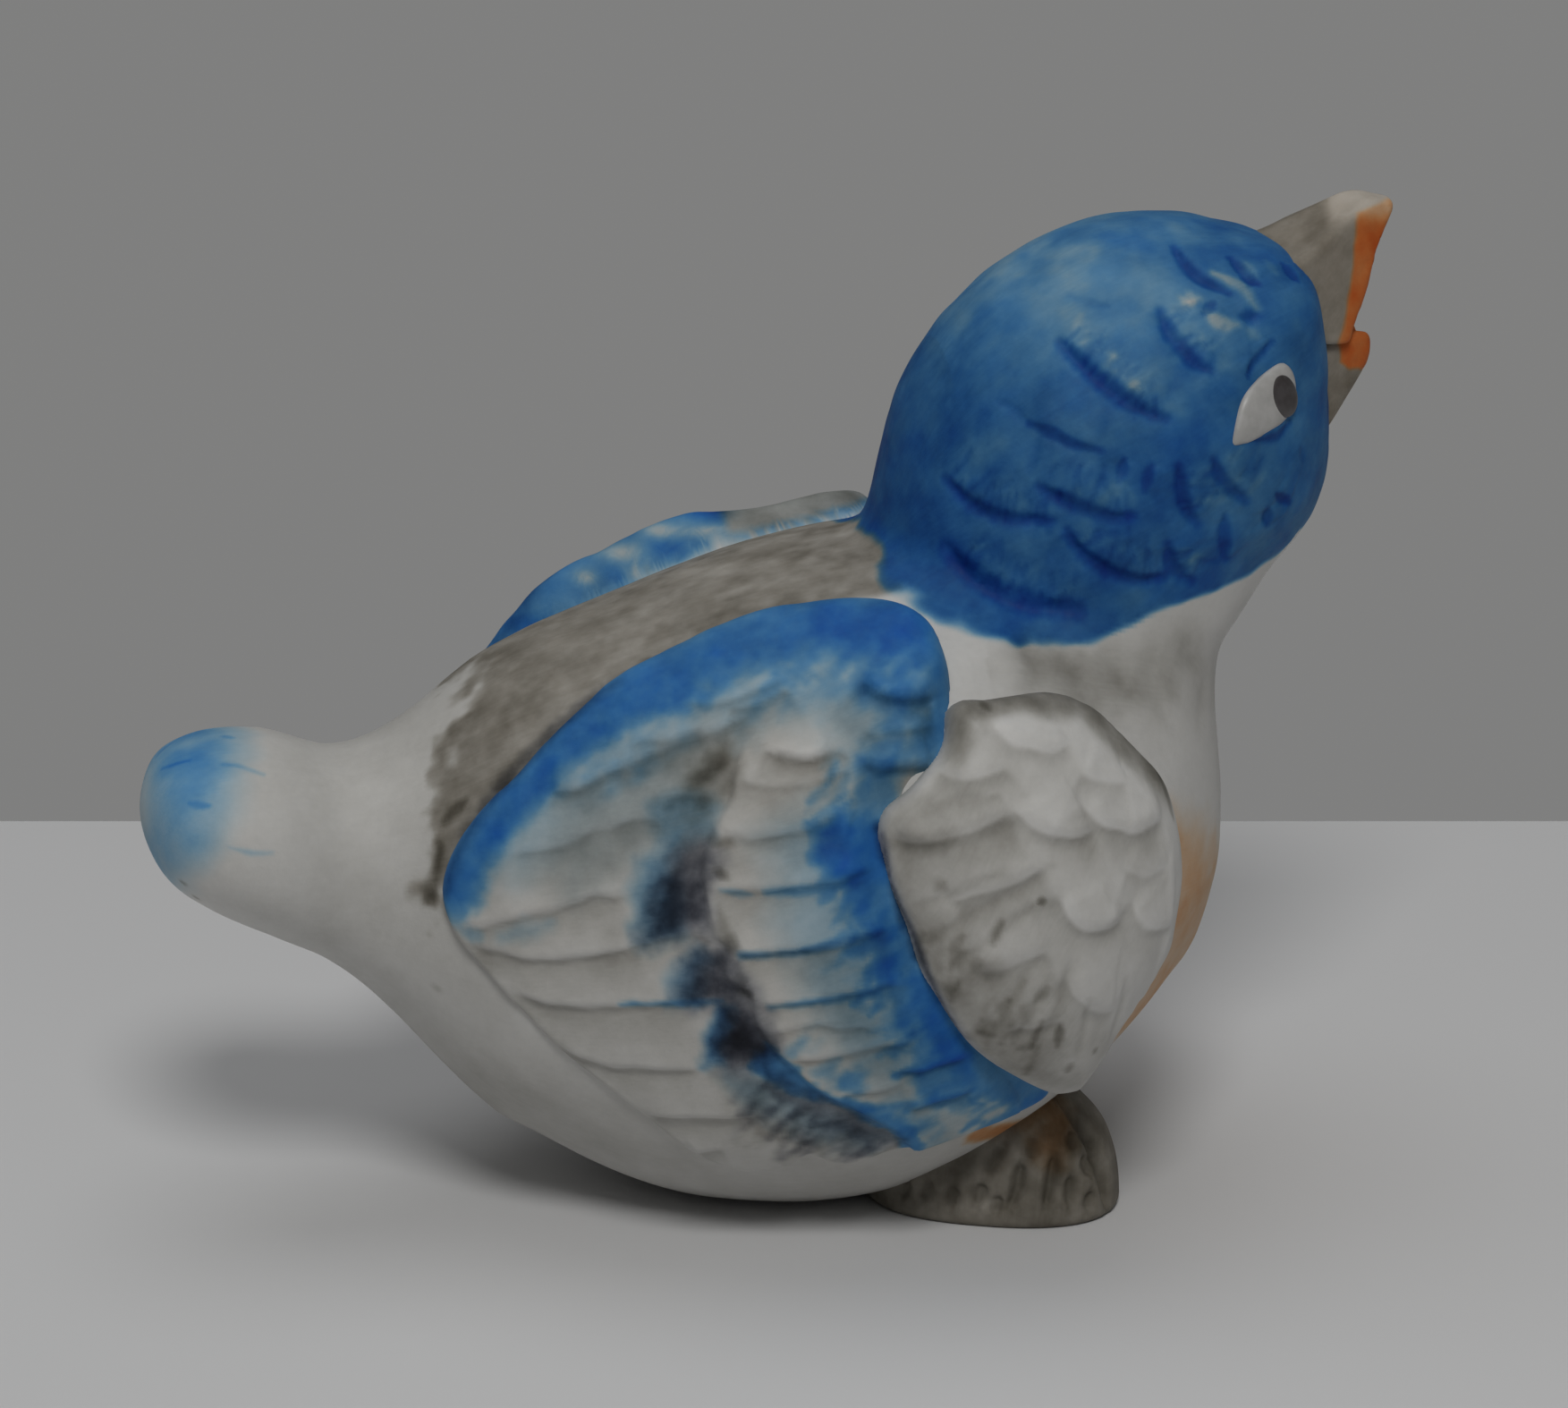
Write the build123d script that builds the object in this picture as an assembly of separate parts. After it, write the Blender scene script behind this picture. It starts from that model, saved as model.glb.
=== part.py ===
"""Painted bisque bird figure: hollow slip castings luted together with slip before firing.

Frame: millimetres, +Z up, the bird looks along +X, its left is +Y.
The origin is on the table, under the middle of the figure's box.
"""
from build123d import *

import os

# ---------------------------------------------------------------- driving sizes (mm)
WALL = 3.2            # cast wall of the torso and head
VENT_R = 1.75         # air hole through the base, and through the neck joint
SPIGOT_R = 7.0        # neck spigot on the torso
SPIGOT_H = 3.6        # how far it enters the head
SLIP_GAP = 0.12       # room left for slip between spigot and socket
WING_T = 2.6          # relief of the wing feathers over the flank
WING_TOP_T = 2.6      # relief of the wing along the back
EYE_T = 0.55          # raised white of the eye
PUPIL_T = 0.35        # raised pupil on the white

# torso: X station, height of the section's centre, half width, half height
TORSO = [
    (-29.0, 27.4, 8.4, 10.2),
    (-25.5, 26.0, 12.2, 14.4),
    (-20.0, 24.9, 16.8, 19.2),
    (-11.0, 24.2, 21.8, 23.2),
    (-1.0, 24.7, 24.9, 25.8),
    (8.5, 25.8, 26.2, 26.4),
    (17.5, 27.6, 25.4, 24.2),
    (25.0, 29.6, 22.2, 20.0),
    (31.0, 30.8, 16.8, 15.4),
    (34.8, 31.6, 10.0, 9.4),
    (36.1, 32.0, 4.0, 3.8),
]
# neck: height, X of the section's centre, half length, half width
NECK = [
    (28.0, 19.2, 16.2, 20.5),
    (39.0, 21.8, 14.8, 16.8),
    (47.0, 25.0, 15.0, 14.6),
    (54.0, 26.8, 15.8, 14.8),
]
# head: spheroid about an axis that leans up and forward
HEAD_C = (27.6, 0.0, 59.5)
HEAD_TILT = 43.0      # degrees above the horizon
HEAD_LONG = 19.6
HEAD_SHORT = 15.7
SEAM = (25.6, 0.0, 48.8)   # a point of the neck joint's plane
SEAM_TILT = 5.0            # the joint falls this much towards the beak, degrees

# tail: X station, height of centre, half width, half height
TAIL = [
    (-22.0, 25.6, 14.4, 15.6),
    (-28.0, 27.4, 10.6, 11.4),
    (-33.5, 29.0, 9.6, 8.8),
    (-39.5, 31.4, 10.6, 7.6),
    (-44.5, 32.6, 10.2, 6.6),
    (-48.0, 33.2, 6.9, 4.5),
    (-49.2, 33.4, 2.6, 1.8),
]

# wing outline seen from the side (X, Z)
WING = [
    (17.0, 46.0), (12.0, 52.0), (2.0, 62.0), (-12.0, 60.0), (-23.0, 42.0), (-26.6, 35.6), (-28.2, 30.4),
    (-25.4, 24.0), (-17.0, 15.2), (-8.0, 10.2), (0.0, 8.2), (9.0, 9.0), (18.0, 13.2), (20.5, 28.0),
]
# wing's inner edge along the back, seen from above (X, Y)
WING_PLAN = [(24.0, -17.5), (14.0, -14.2), (8.0, -12.8), (0.0, -12.2), (-9.0, -11.8), (-18.0, -11.6),
             (-24.0, -12.2), (-32.0, -14.0)]
SHOULDER_C = (15.7, 28.7)   # X, Z of the shoulder seen from the side
SHOULDER_RX, SHOULDER_RZ = 14.0, 15.8
SHOULDER_Y, SHOULDER_RY = -16.0, 14.6

FOOT_C = (16.4, -10.8)
FOOT_R = (10.0, 7.6, 10.6)

# beak, seen from the side (X, Z)
BEAK_TOP = [(38.0, 71.6), (42.2, 73.4), (48.6, 76.9), (49.2, 76.0), (47.0, 68.6), (38.0, 66.0)]
BEAK_LOW = [(38.0, 66.0), (46.6, 68.0), (48.4, 66.8), (48.7, 65.4), (44.4, 60.2), (40.0, 58.0)]
BEAK_W = 7.4          # half width of the beak where it leaves the head
BEAK_TIP_W = 2.2      # half width at the tips

EYE_AT = (36.7, -13.2, 64.6)
EYE_RX, EYE_RZ = 2.5, 3.7
EYE_LEAN = -24.0      # the almond leans forward at the top, degrees
PUPIL_SHIFT = 1.25
PUPIL_RX, PUPIL_RZ = 1.0, 1.7
BASE_C = (4.0, 0.0)   # the vent, in the flat of the belly


# ---------------------------------------------------------------- helpers
def cross_sections(rows, grow=(0.0, 0.0)):
    """Elliptic sections across X."""
    out = []
    for x, zc, ry, rz in rows:
        at = Plane(origin=(x, 0, zc), x_dir=(0, 1, 0), z_dir=(1, 0, 0))
        out.append(at * Ellipse(ry + grow[0], rz + grow[1]))
    return out


def level_sections(rows, grow=0.0):
    """Elliptic sections across Z."""
    out = []
    for z, xc, rx, ry in rows:
        at = Plane(origin=(xc, 0, z), x_dir=(1, 0, 0), z_dir=(0, 0, 1))
        out.append(at * Ellipse(rx + grow, ry + grow))
    return out


def one(shape):
    """The largest solid of a boolean's result."""
    return max(shape.solids(), key=lambda s: s.volume)


def spheroid(centre, tilt, long_r, short_r):
    """A spheroid whose long axis lies in the XZ plane, tilt degrees above +X."""
    arc = EllipticalCenterArc((0, 0), long_r, short_r, start_angle=0, arc_size=180)
    face = make_face(Curve() + [arc, Line((-long_r, 0), (long_r, 0))])
    ball = revolve(face, Axis.X, 360)
    return Pos(*centre) * (Rot(0, -tilt, 0) * ball)


def half_space(point, tilt, above):
    """A large block over or under the joint plane."""
    block = Box(200, 200, 200, align=(Align.CENTER, Align.CENTER, Align.MIN if above else Align.MAX))
    return Pos(*point) * (Rot(0, tilt, 0) * block)


def side_prism(points, y0, y1, smooth=True):
    """A closed outline in the XZ plane, extruded from y0 to y1."""
    at = Plane(origin=(0, y0, 0), x_dir=(1, 0, 0), z_dir=(0, -1, 0))
    if smooth:
        edge = Spline(*points, periodic=True)
        face = make_face(edge)
    else:
        face = make_face(Polyline(*points, close=True))
    return extrude(at * face, amount=-(y1 - y0))


ground = Pos(0, 0, 0) * Box(300, 300, 120, align=(Align.CENTER, Align.CENTER, Align.MAX))

# ---------------------------------------------------------------- torso
torso_core = loft(cross_sections(TORSO))
neck_core = loft(level_sections(NECK))
above_seam = half_space(SEAM, SEAM_TILT, True)
below_seam = half_space(SEAM, SEAM_TILT, False)
torso_full = one(one((torso_core & below_seam) + (neck_core & below_seam)) - ground)

inner_rows = [(x, zc, ry - WALL, rz - WALL) for x, zc, ry, rz in TORSO[1:-2]]
torso_inside = loft(cross_sections(inner_rows))
neck_inside = loft(level_sections([(z, xc, rx - WALL - 1.0, ry - WALL - 1.0) for z, xc, rx, ry in NECK[:2]]
                                  + [(45.2, 23.6, 9.0, 9.0)]))
floor_keep = Pos(0, 0, 0) * Box(300, 300, 2 * WALL, align=(Align.CENTER, Align.CENTER, Align.CENTER))
roof_keep = half_space((SEAM[0], 0, SEAM[2] - WALL), SEAM_TILT, True)
inside = one(one((torso_inside - floor_keep) + (neck_inside - floor_keep)) - roof_keep)

seam_frame = Pos(*SEAM) * Rot(0, SEAM_TILT, 0)
spigot = (seam_frame * Pos(0, 0, -1.0)) * Cylinder(
    SPIGOT_R, SPIGOT_H + 1.0, align=(Align.CENTER, Align.CENTER, Align.MIN))
air = (seam_frame * Pos(0, 0, -12.0)) * Cylinder(
    VENT_R, 24.0, align=(Align.CENTER, Align.CENTER, Align.MIN))
vent = Pos(BASE_C[0], BASE_C[1], -1) * Cylinder(VENT_R, 8, align=(Align.CENTER, Align.CENTER, Align.MIN))
body_shell = one(one(one(torso_full + spigot) - inside) - air - vent)

# ---------------------------------------------------------------- head, with the upper part of the neck
head_ball = spheroid(HEAD_C, HEAD_TILT, HEAD_LONG, HEAD_SHORT)
head_full = one((head_ball & above_seam) + (neck_core & above_seam))
head_inside = spheroid(HEAD_C, HEAD_TILT, HEAD_LONG - WALL, HEAD_SHORT - WALL)
head_inside = one(head_inside & half_space((SEAM[0], 0, SEAM[2] + WALL), SEAM_TILT, True))
socket = seam_frame * Pos(0, 0, -1.0) * Cylinder(
    SPIGOT_R + SLIP_GAP, 40.0, align=(Align.CENTER, Align.CENTER, Align.MIN))
socket = one(socket & half_space((SEAM[0], 0, SEAM[2] + WALL + 1.0), SEAM_TILT, False))
head_shell = one(one(head_full - head_inside) - socket)


# ---------------------------------------------------------------- beak
def beak_half(profile):
    side = side_prism(profile, -20, 20, smooth=False)
    plan = make_face(Polyline((34, -BEAK_W), (43.5, -BEAK_W), (50.4, -BEAK_TIP_W),
                              (50.4, BEAK_TIP_W), (43.5, BEAK_W), (34, BEAK_W), close=True))
    top = extrude(Plane((0, 0, 50)) * plan, amount=40)
    return one(side & top)


upper_raw = beak_half(BEAK_TOP)
lower_raw = beak_half(BEAK_LOW)
palate = Pos(48.8, 0, 70.6) * (Rot(0, -66, 0) * spheroid((0, 0, 0), 0, 8.0, 3.8))
trough = Pos(46.6, 0, 68.4) * (Rot(0, 32, 0) * spheroid((0, 0, 0), 0, 6.0, 3.6))
upper_beak = one(one(upper_raw - head_full) - palate)
lower_beak = one(one(lower_raw - head_full) - trough)

# ---------------------------------------------------------------- tail
tail_core = loft(cross_sections(TAIL))
tail = one(tail_core - torso_full)

# ---------------------------------------------------------------- wings and shoulders (right, then mirrored)
wing_env = loft(cross_sections(TORSO[:-1], grow=(WING_T, WING_TOP_T)))
shoulder_ball = Pos(SHOULDER_C[0], SHOULDER_Y, SHOULDER_C[1]) * scale(
    Sphere(1), by=(SHOULDER_RX, SHOULDER_RY, SHOULDER_RZ))
shoulder_cut = side_prism(
    [(SHOULDER_C[0] + SHOULDER_RX * 1.2, SHOULDER_C[1]), (SHOULDER_C[0], SHOULDER_C[1] + SHOULDER_RZ * 1.2),
     (SHOULDER_C[0] - SHOULDER_RX * 1.2, SHOULDER_C[1]), (SHOULDER_C[0], SHOULDER_C[1] - SHOULDER_RZ * 1.2)], -60, -4)
shoulder = one((shoulder_ball & shoulder_cut) - torso_full)
wing_plan = make_face(Curve() + [Spline(*WING_PLAN),
                                 Polyline(WING_PLAN[-1], (-32.0, -60.0), (24.0, -60.0), WING_PLAN[0])])
wing_side = extrude(Plane((0, 0, -5)) * wing_plan, amount=90)
wing_blank = one(one(wing_env & side_prism(WING, -60, -3)) & wing_side)
wing = one(one(wing_blank - torso_full) - shoulder_ball)
right_shoulder, right_wing = shoulder, wing
left_shoulder, left_wing = mirror(shoulder, Plane.XZ), mirror(wing, Plane.XZ)

# ---------------------------------------------------------------- feet
foot_ball = Pos(FOOT_C[0], FOOT_C[1], 0) * scale(Sphere(1), by=FOOT_R)
foot = one(one(foot_ball - ground) - torso_full)
foot = one(foot - shoulder_ball)
right_foot, left_foot = foot, mirror(foot, Plane.XZ)

# ---------------------------------------------------------------- eyes
eye_dir = Vector(*EYE_AT) - Vector(*HEAD_C)
eye_plane = Plane(origin=Vector(*HEAD_C), x_dir=Vector(0.72, 0.42, -0.38), z_dir=eye_dir.normalized())
almond = extrude(eye_plane * (Rot(0, 0, EYE_LEAN) * Ellipse(EYE_RX, EYE_RZ)), amount=30)
dot = extrude(eye_plane * (Pos(PUPIL_SHIFT, 0.3, 0) * (Rot(0, 0, EYE_LEAN / 2) * Ellipse(PUPIL_RX, PUPIL_RZ))),
              amount=30)
skin1 = spheroid(HEAD_C, HEAD_TILT, HEAD_LONG + EYE_T, HEAD_SHORT + EYE_T)
skin2 = spheroid(HEAD_C, HEAD_TILT, HEAD_LONG + EYE_T + PUPIL_T, HEAD_SHORT + EYE_T + PUPIL_T)
right_eye = one((almond & skin1) - head_ball)
right_pupil = one((dot & skin2) - skin1)
left_eye, left_pupil = mirror(right_eye, Plane.XZ), mirror(right_pupil, Plane.XZ)

# ---------------------------------------------------------------- write one STEP for each piece
pieces = {
    "body_shell": body_shell, "head_shell": head_shell, "tail": tail,
    "upper_beak": upper_beak, "lower_beak": lower_beak,
    "right_wing": right_wing, "left_wing": left_wing,
    "right_shoulder": right_shoulder, "left_shoulder": left_shoulder,
    "right_foot": right_foot, "left_foot": left_foot,
    "right_eye": right_eye, "left_eye": left_eye,
    "right_pupil": right_pupil, "left_pupil": left_pupil,
}
os.makedirs("parts", exist_ok=True)
for name, shape in pieces.items():
    export_step(shape, f"parts/{name}.step")
    box = shape.bounding_box()
    print(name, round(shape.volume, 1), [round(v, 2) for v in (*box.min, *box.max)])
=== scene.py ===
import math

import bpy
import numpy as np
from mathutils import Matrix, Vector
from mathutils.bvhtree import BVHTree


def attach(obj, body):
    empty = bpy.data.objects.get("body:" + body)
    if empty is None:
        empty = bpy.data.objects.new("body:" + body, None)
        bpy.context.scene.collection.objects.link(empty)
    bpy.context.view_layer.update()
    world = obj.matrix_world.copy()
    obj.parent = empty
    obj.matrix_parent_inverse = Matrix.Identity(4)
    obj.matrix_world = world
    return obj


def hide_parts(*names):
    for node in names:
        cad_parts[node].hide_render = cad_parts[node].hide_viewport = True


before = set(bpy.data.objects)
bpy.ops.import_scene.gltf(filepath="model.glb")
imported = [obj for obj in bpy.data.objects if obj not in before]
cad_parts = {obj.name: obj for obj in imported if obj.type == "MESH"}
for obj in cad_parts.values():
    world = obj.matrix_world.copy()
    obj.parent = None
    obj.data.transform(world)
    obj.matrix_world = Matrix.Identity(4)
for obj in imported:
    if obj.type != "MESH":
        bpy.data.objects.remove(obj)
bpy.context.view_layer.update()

RNG = np.random.default_rng(2407)
MM = 0.001

# ------------------------------------------------------------------ camera (mm, degrees; picture 1753 x 1574)
W, H = 1753, 1574
AZ, EL, DIST = math.radians(-12.0), math.radians(17.0), 420.0
TARGET = np.array([2.0, 0.0, 38.9])
FOCAL = 14.2 * DIST
RIGHT = np.array([math.cos(AZ), math.sin(AZ), 0.0])
BACK = np.array([math.sin(AZ) * math.cos(EL), -math.cos(AZ) * math.cos(EL), math.sin(EL)])
UP = np.cross(BACK, RIGHT)
EYE = TARGET + BACK * DIST

cam_data = bpy.data.cameras.new("camera")
cam_data.sensor_fit = "HORIZONTAL"
cam_data.sensor_width = 36.0
cam_data.lens = FOCAL / W * 36.0
cam_data.clip_start, cam_data.clip_end = 0.01, 20.0
cam = bpy.data.objects.new("camera", cam_data)
bpy.context.scene.collection.objects.link(cam)
cam.matrix_world = Matrix([[RIGHT[i], UP[i], BACK[i], EYE[i] * MM] for i in range(3)] + [[0, 0, 0, 1]])
bpy.context.scene.camera = cam


def to_px(P):
    """Picture position of points."""
    d = P - EYE
    z = -(d @ BACK)
    return np.stack([W / 2 + FOCAL * (d @ RIGHT) / z, H / 2 - FOCAL * (d @ UP) / z], 1)


def rays(px):
    px = np.asarray(px, float).reshape(-1, 2)
    d = np.outer((px[:, 0] - W / 2) / FOCAL, RIGHT) + np.outer((H / 2 - px[:, 1]) / FOCAL, UP) - BACK
    return d / np.linalg.norm(d, axis=1)[:, None]


# ------------------------------------------------------------------ number helpers
def smooth(a, b, x):
    t = np.clip((x - a) / (b - a), 0, 1)
    return t * t * (3 - 2 * t)


def smin(a, b, k):
    h = np.clip(0.5 + 0.5 * (b - a) / k, 0, 1)
    return b * (1 - h) + a * h - k * h * (1 - h)


def smax(a, b, k):
    return -smin(-a, -b, k)


LATTICE = RNG.random((32, 32, 32)) * 2 - 1


def noise(P, size, seed=0.0):
    """Smooth noise in -1..1 with features of about size mm."""
    q = P / size + np.array([seed * 7.31, seed * 3.77, seed * 5.13])
    i = np.floor(q).astype(int)
    t = q - i
    t = t * t * (3 - 2 * t)
    out = 0.0
    for dx in (0, 1):
        for dy in (0, 1):
            for dz in (0, 1):
                w = (t[:, 0] if dx else 1 - t[:, 0]) * (t[:, 1] if dy else 1 - t[:, 1]) * (t[:, 2] if dz else 1 - t[:, 2])
                out = out + w * LATTICE[(i[:, 0] + dx) % 32, (i[:, 1] + dy) % 32, (i[:, 2] + dz) % 32]
    return out


def hermite(xs, ys):
    """Smooth curve through the values, straight on past both ends."""
    xs, ys = np.asarray(xs, float), np.asarray(ys, float)
    m = np.gradient(ys, xs)

    def at(x):
        i = np.clip(np.searchsorted(xs, x) - 1, 0, len(xs) - 2)
        h = xs[i + 1] - xs[i]
        t = (x - xs[i]) / h
        u = np.clip(t, 0, 1)
        v = ((2 * u ** 3 - 3 * u ** 2 + 1) * ys[i] + (u ** 3 - 2 * u ** 2 + u) * h * m[i]
             + (3 * u ** 2 - 2 * u ** 3) * ys[i + 1] + (u ** 3 - u ** 2) * h * m[i + 1])
        return v + np.where(t < 0, t * h * m[i], 0) + np.where(t > 1, (t - 1) * h * m[i + 1], 0)

    return at


GRID = np.arange(-70.0, 100.0, 0.02)


def tabled(values):
    return lambda s: np.interp(s, GRID, values)


# ------------------------------------------------------------------ outer skin of the figure (mm)
TORSO = [(-29.0, 27.4, 8.4, 9.3), (-25.5, 26.2, 12.2, 13.4), (-20.0, 25.4, 16.8, 18.6), (-11.0, 24.3, 21.8, 23.1),
         (-1.0, 24.7, 24.9, 25.8), (8.5, 25.8, 26.2, 26.4), (17.5, 27.6, 25.4, 24.3), (25.0, 29.4, 22.2, 20.6),
         (30.8, 30.4, 16.8, 16.3), (34.5, 30.2, 10.4, 11.6), (35.9, 30.4, 4.6, 5.2)]
NECK = [(28.0, 19.2, 16.0, 20.5), (39.0, 21.3, 14.2, 16.8), (43.5, 22.6, 14.3, 15.5), (47.0, 24.5, 14.9, 14.6), (54.0, 26.8, 15.6, 14.8)]
TAIL = [(-48.5, 33.2, 2.6, 1.8), (-47.3, 33.0, 6.7, 4.3), (-44.0, 32.4, 10.0, 6.5), (-39.3, 31.2, 10.6, 7.8),
        (-33.5, 28.8, 9.6, 8.6), (-28.0, 27.0, 10.6, 11.0), (-22.0, 25.6, 14.4, 15.6)]
HEAD_C, HEAD_TILT, HEAD_LONG, HEAD_SHORT = np.array([27.6, 0.0, 59.5]), math.radians(43.0), 19.1, 15.7
SEAM, SEAM_TILT = np.array([25.6, 0.0, 49.2]), math.radians(11.3)
SEAM_N = np.array([math.sin(SEAM_TILT), 0.0, math.cos(SEAM_TILT)])
TAIL_CUT = -30.0


class Loft:
    """Elliptic sections stacked along X (centre height, half width, half height) or along Z (centre X, half length, half width)."""

    def __init__(self, rows, axis, lo=None, hi=None, square=None):
        s, c, p, q = np.array(sorted(rows)).T
        r = hermite(s, p * q)(GRID)
        if lo is not None:
            r = r - 6.0 * np.maximum(lo - GRID, 0) ** 2
        if hi is not None:
            r = r - 6.0 * np.maximum(GRID - hi, 0) ** 2
        c = hermite(s, c)(GRID)
        self.c, self.dc, self.r, self.dr = tabled(c), tabled(np.gradient(c, GRID)), tabled(r), tabled(np.gradient(r, GRID))
        self.a = tabled(np.clip(hermite(s, p / q)(GRID), 0.4, 2.5))
        self.axis, self.square = axis, square

    def __call__(self, P):
        s = P[:, 0] if self.axis == "x" else P[:, 2]
        c, a, r, dr, dc = self.c(s), self.a(s), self.r(s), self.dr(s), self.dc(s)
        if self.axis == "x":
            u, v = P[:, 1], P[:, 2] - c
            f, gu, gv = u * u / a + v * v * a - r, 2 * u / a, 2 * v * a
            if self.square:
                n = 2 + self.square(P[:, 0], v)
                f = ((u * u / a + 1e-9) ** (n / 2) + (v * v * a + 1e-9) ** (n / 2)) ** (2 / n) - r
            gs = -dr - gv * dc
        else:
            u, v = P[:, 0] - c, P[:, 1]
            f, gu, gv = u * u / a + v * v * a - r, 2 * u / a, 2 * v * a
            gs = -dr - gu * dc
        return f / (np.sqrt(gu * gu + gv * gv + gs * gs) + 1.0)


def back_square(x, v):
    """The back between the wings is flatter than an ellipse."""
    return .3 * smooth(2, 14, v) * smooth(-27, -12, x) * (1 - smooth(12, 24, x))


torso, neck = Loft(TORSO, "x", square=back_square), Loft(NECK, "z", lo=28.0, hi=54.0)
tail_field = Loft(TAIL, "x", hi=-22.0)
LONG_AXIS = np.array([math.cos(HEAD_TILT), 0.0, math.sin(HEAD_TILT)])
CHEEK = np.array([35.0, 0.0, 56.8]), np.array([9.5, 12.0, 8.4])
BROW = np.array([35.9, 0.0, 68.0]), np.array([8.2, 11.0, 7.3])


def egg(P, c, r):
    q = (P - c) / r
    k = np.sqrt((q * q).sum(1)) + 1e-9
    return (k - 1) * k / np.maximum(np.sqrt(((q / r) ** 2).sum(1)), 1e-6)


def blunt(P, c, r, p):
    d = P - c
    k = ((np.abs(d) / r) ** p).sum(1) ** (1 / p) + 1e-9
    return .9 * (k - 1) / k * np.linalg.norm(d, axis=1)


def head_ball(P):
    d = P - HEAD_C
    u = d @ LONG_AXIS
    v2 = (d * d).sum(1) - u * u
    f = u * u / HEAD_LONG ** 2 + v2 / HEAD_SHORT ** 2 - 1
    g = 2 * np.sqrt(u * u / HEAD_LONG ** 4 + np.maximum(v2, 0) / HEAD_SHORT ** 4)
    return f / (g + 0.02)


def skin(P):
    d = smin(torso(P), neck(P), 3.2)
    d = smin(d, smin(smin(head_ball(P), egg(P, *CHEEK), 3.0), blunt(P, *BROW, 2.6), 1.6), 1.4 + 2.6 * smooth(22, 12, P[:, 0]))
    d = smin(d, tail_field(P), 5.0)
    return smax(d, -P[:, 2], 0.8)


# ------------------------------------------------------------------ mesh helpers
def gradient(P, f, eps=0.03):
    g = np.empty_like(P)
    for k in range(3):
        e = np.zeros(3)
        e[k] = eps
        g[:, k] = (f(P + e) - f(P - e)) / (2 * eps)
    return g


def project(P, f, steps=2):
    for _ in range(steps):
        g = gradient(P, f)
        step = f(P) / np.maximum((g * g).sum(1), 0.05)
        P = P - g * np.clip(step, -0.8, 0.8)[:, None]
    return P


def normals(P, f):
    g = gradient(P, f)
    return g / np.maximum(np.linalg.norm(g, axis=1), 1e-9)[:, None]


def nets(f, lo, hi, h):
    """Quads on the zero surface of f inside a box."""
    lo, hi = np.asarray(lo, float), np.asarray(hi, float)
    n = np.ceil((hi - lo) / h).astype(int) + 1
    ax = [lo[k] + h * np.arange(n[k]) for k in range(3)]
    G = np.stack(np.meshgrid(*ax, indexing="ij"), -1).reshape(-1, 3)
    v = f(G).reshape(n)
    s = v < 0
    count = sum(s[i:n[0] - 1 + i, j:n[1] - 1 + j, k:n[2] - 1 + k].astype(np.int8)
                for i in (0, 1) for j in (0, 1) for k in (0, 1))
    cells = np.argwhere((count > 0) & (count < 8))
    ident = -np.ones(n - 1, int)
    ident[tuple(cells.T)] = np.arange(len(cells))
    total, hits = np.zeros((len(cells), 3)), np.zeros(len(cells))
    for axis in range(3):
        others = [k for k in range(3) if k != axis]
        for a in (0, 1):
            for b in (0, 1):
                c0 = cells.copy()
                c0[:, others[0]] += a
                c0[:, others[1]] += b
                c1 = c0.copy()
                c1[:, axis] += 1
                v0, v1 = v[tuple(c0.T)], v[tuple(c1.T)]
                m = (v0 < 0) != (v1 < 0)
                t = np.where(m, v0 / np.where(m, v0 - v1, 1), 0)
                p = c0.astype(float)
                p[:, axis] += t
                total[m] += p[m]
                hits[m] += 1
    V = lo + h * total / hits[:, None]
    quads = []
    for axis in range(3):
        b, c = (axis + 1) % 3, (axis + 2) % 3
        size = list(n)
        size[axis] -= 1
        take0 = [slice(None)] * 3
        take1 = [slice(None)] * 3
        take0[axis], take1[axis] = slice(0, n[axis] - 1), slice(1, n[axis])
        flip = s[tuple(take0)] != s[tuple(take1)]
        e = np.argwhere(flip)
        ok = (e[:, b] > 0) & (e[:, c] > 0) & (e[:, b] < n[b] - 1) & (e[:, c] < n[c] - 1)
        e = e[ok]
        corner = []
        for db, dc in ((-1, -1), (0, -1), (0, 0), (-1, 0)):
            q = e.copy()
            q[:, b] += db
            q[:, c] += dc
            corner.append(ident[tuple(q.T)])
        q = np.stack(corner, 1)
        inside_first = s[tuple(e.T)]
        quads.append(np.where(inside_first[:, None], q, q[:, ::-1]))
    return V, np.concatenate(quads)


def relax(V, Q, f, rounds=4):
    e = np.concatenate([Q[:, [0, 1]], Q[:, [1, 2]], Q[:, [2, 3]], Q[:, [3, 0]]])
    e = np.concatenate([e, e[:, ::-1]])
    c = np.maximum(np.bincount(e[:, 0], minlength=len(V)), 1)
    for _ in range(rounds):
        A = np.stack([np.bincount(e[:, 0], V[e[:, 1], k], len(V)) / c for k in range(3)], 1)
        V = project(0.4 * V + 0.6 * A, f, 1)
    return V


def fill_mesh(me, V, groups):
    me.vertices.add(len(V))
    me.vertices.foreach_set("co", np.ascontiguousarray(V * MM, np.float32).ravel())
    corner = np.concatenate([g.ravel() for g in groups]).astype(np.int32)
    sizes = np.concatenate([np.full(len(g), g.shape[1]) for g in groups])
    starts = np.concatenate([[0], np.cumsum(sizes)[:-1]]).astype(np.int32)
    me.loops.add(len(corner))
    me.loops.foreach_set("vertex_index", corner)
    me.polygons.add(len(sizes))
    me.polygons.foreach_set("loop_start", starts)
    me.update(calc_edges=True)


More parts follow.
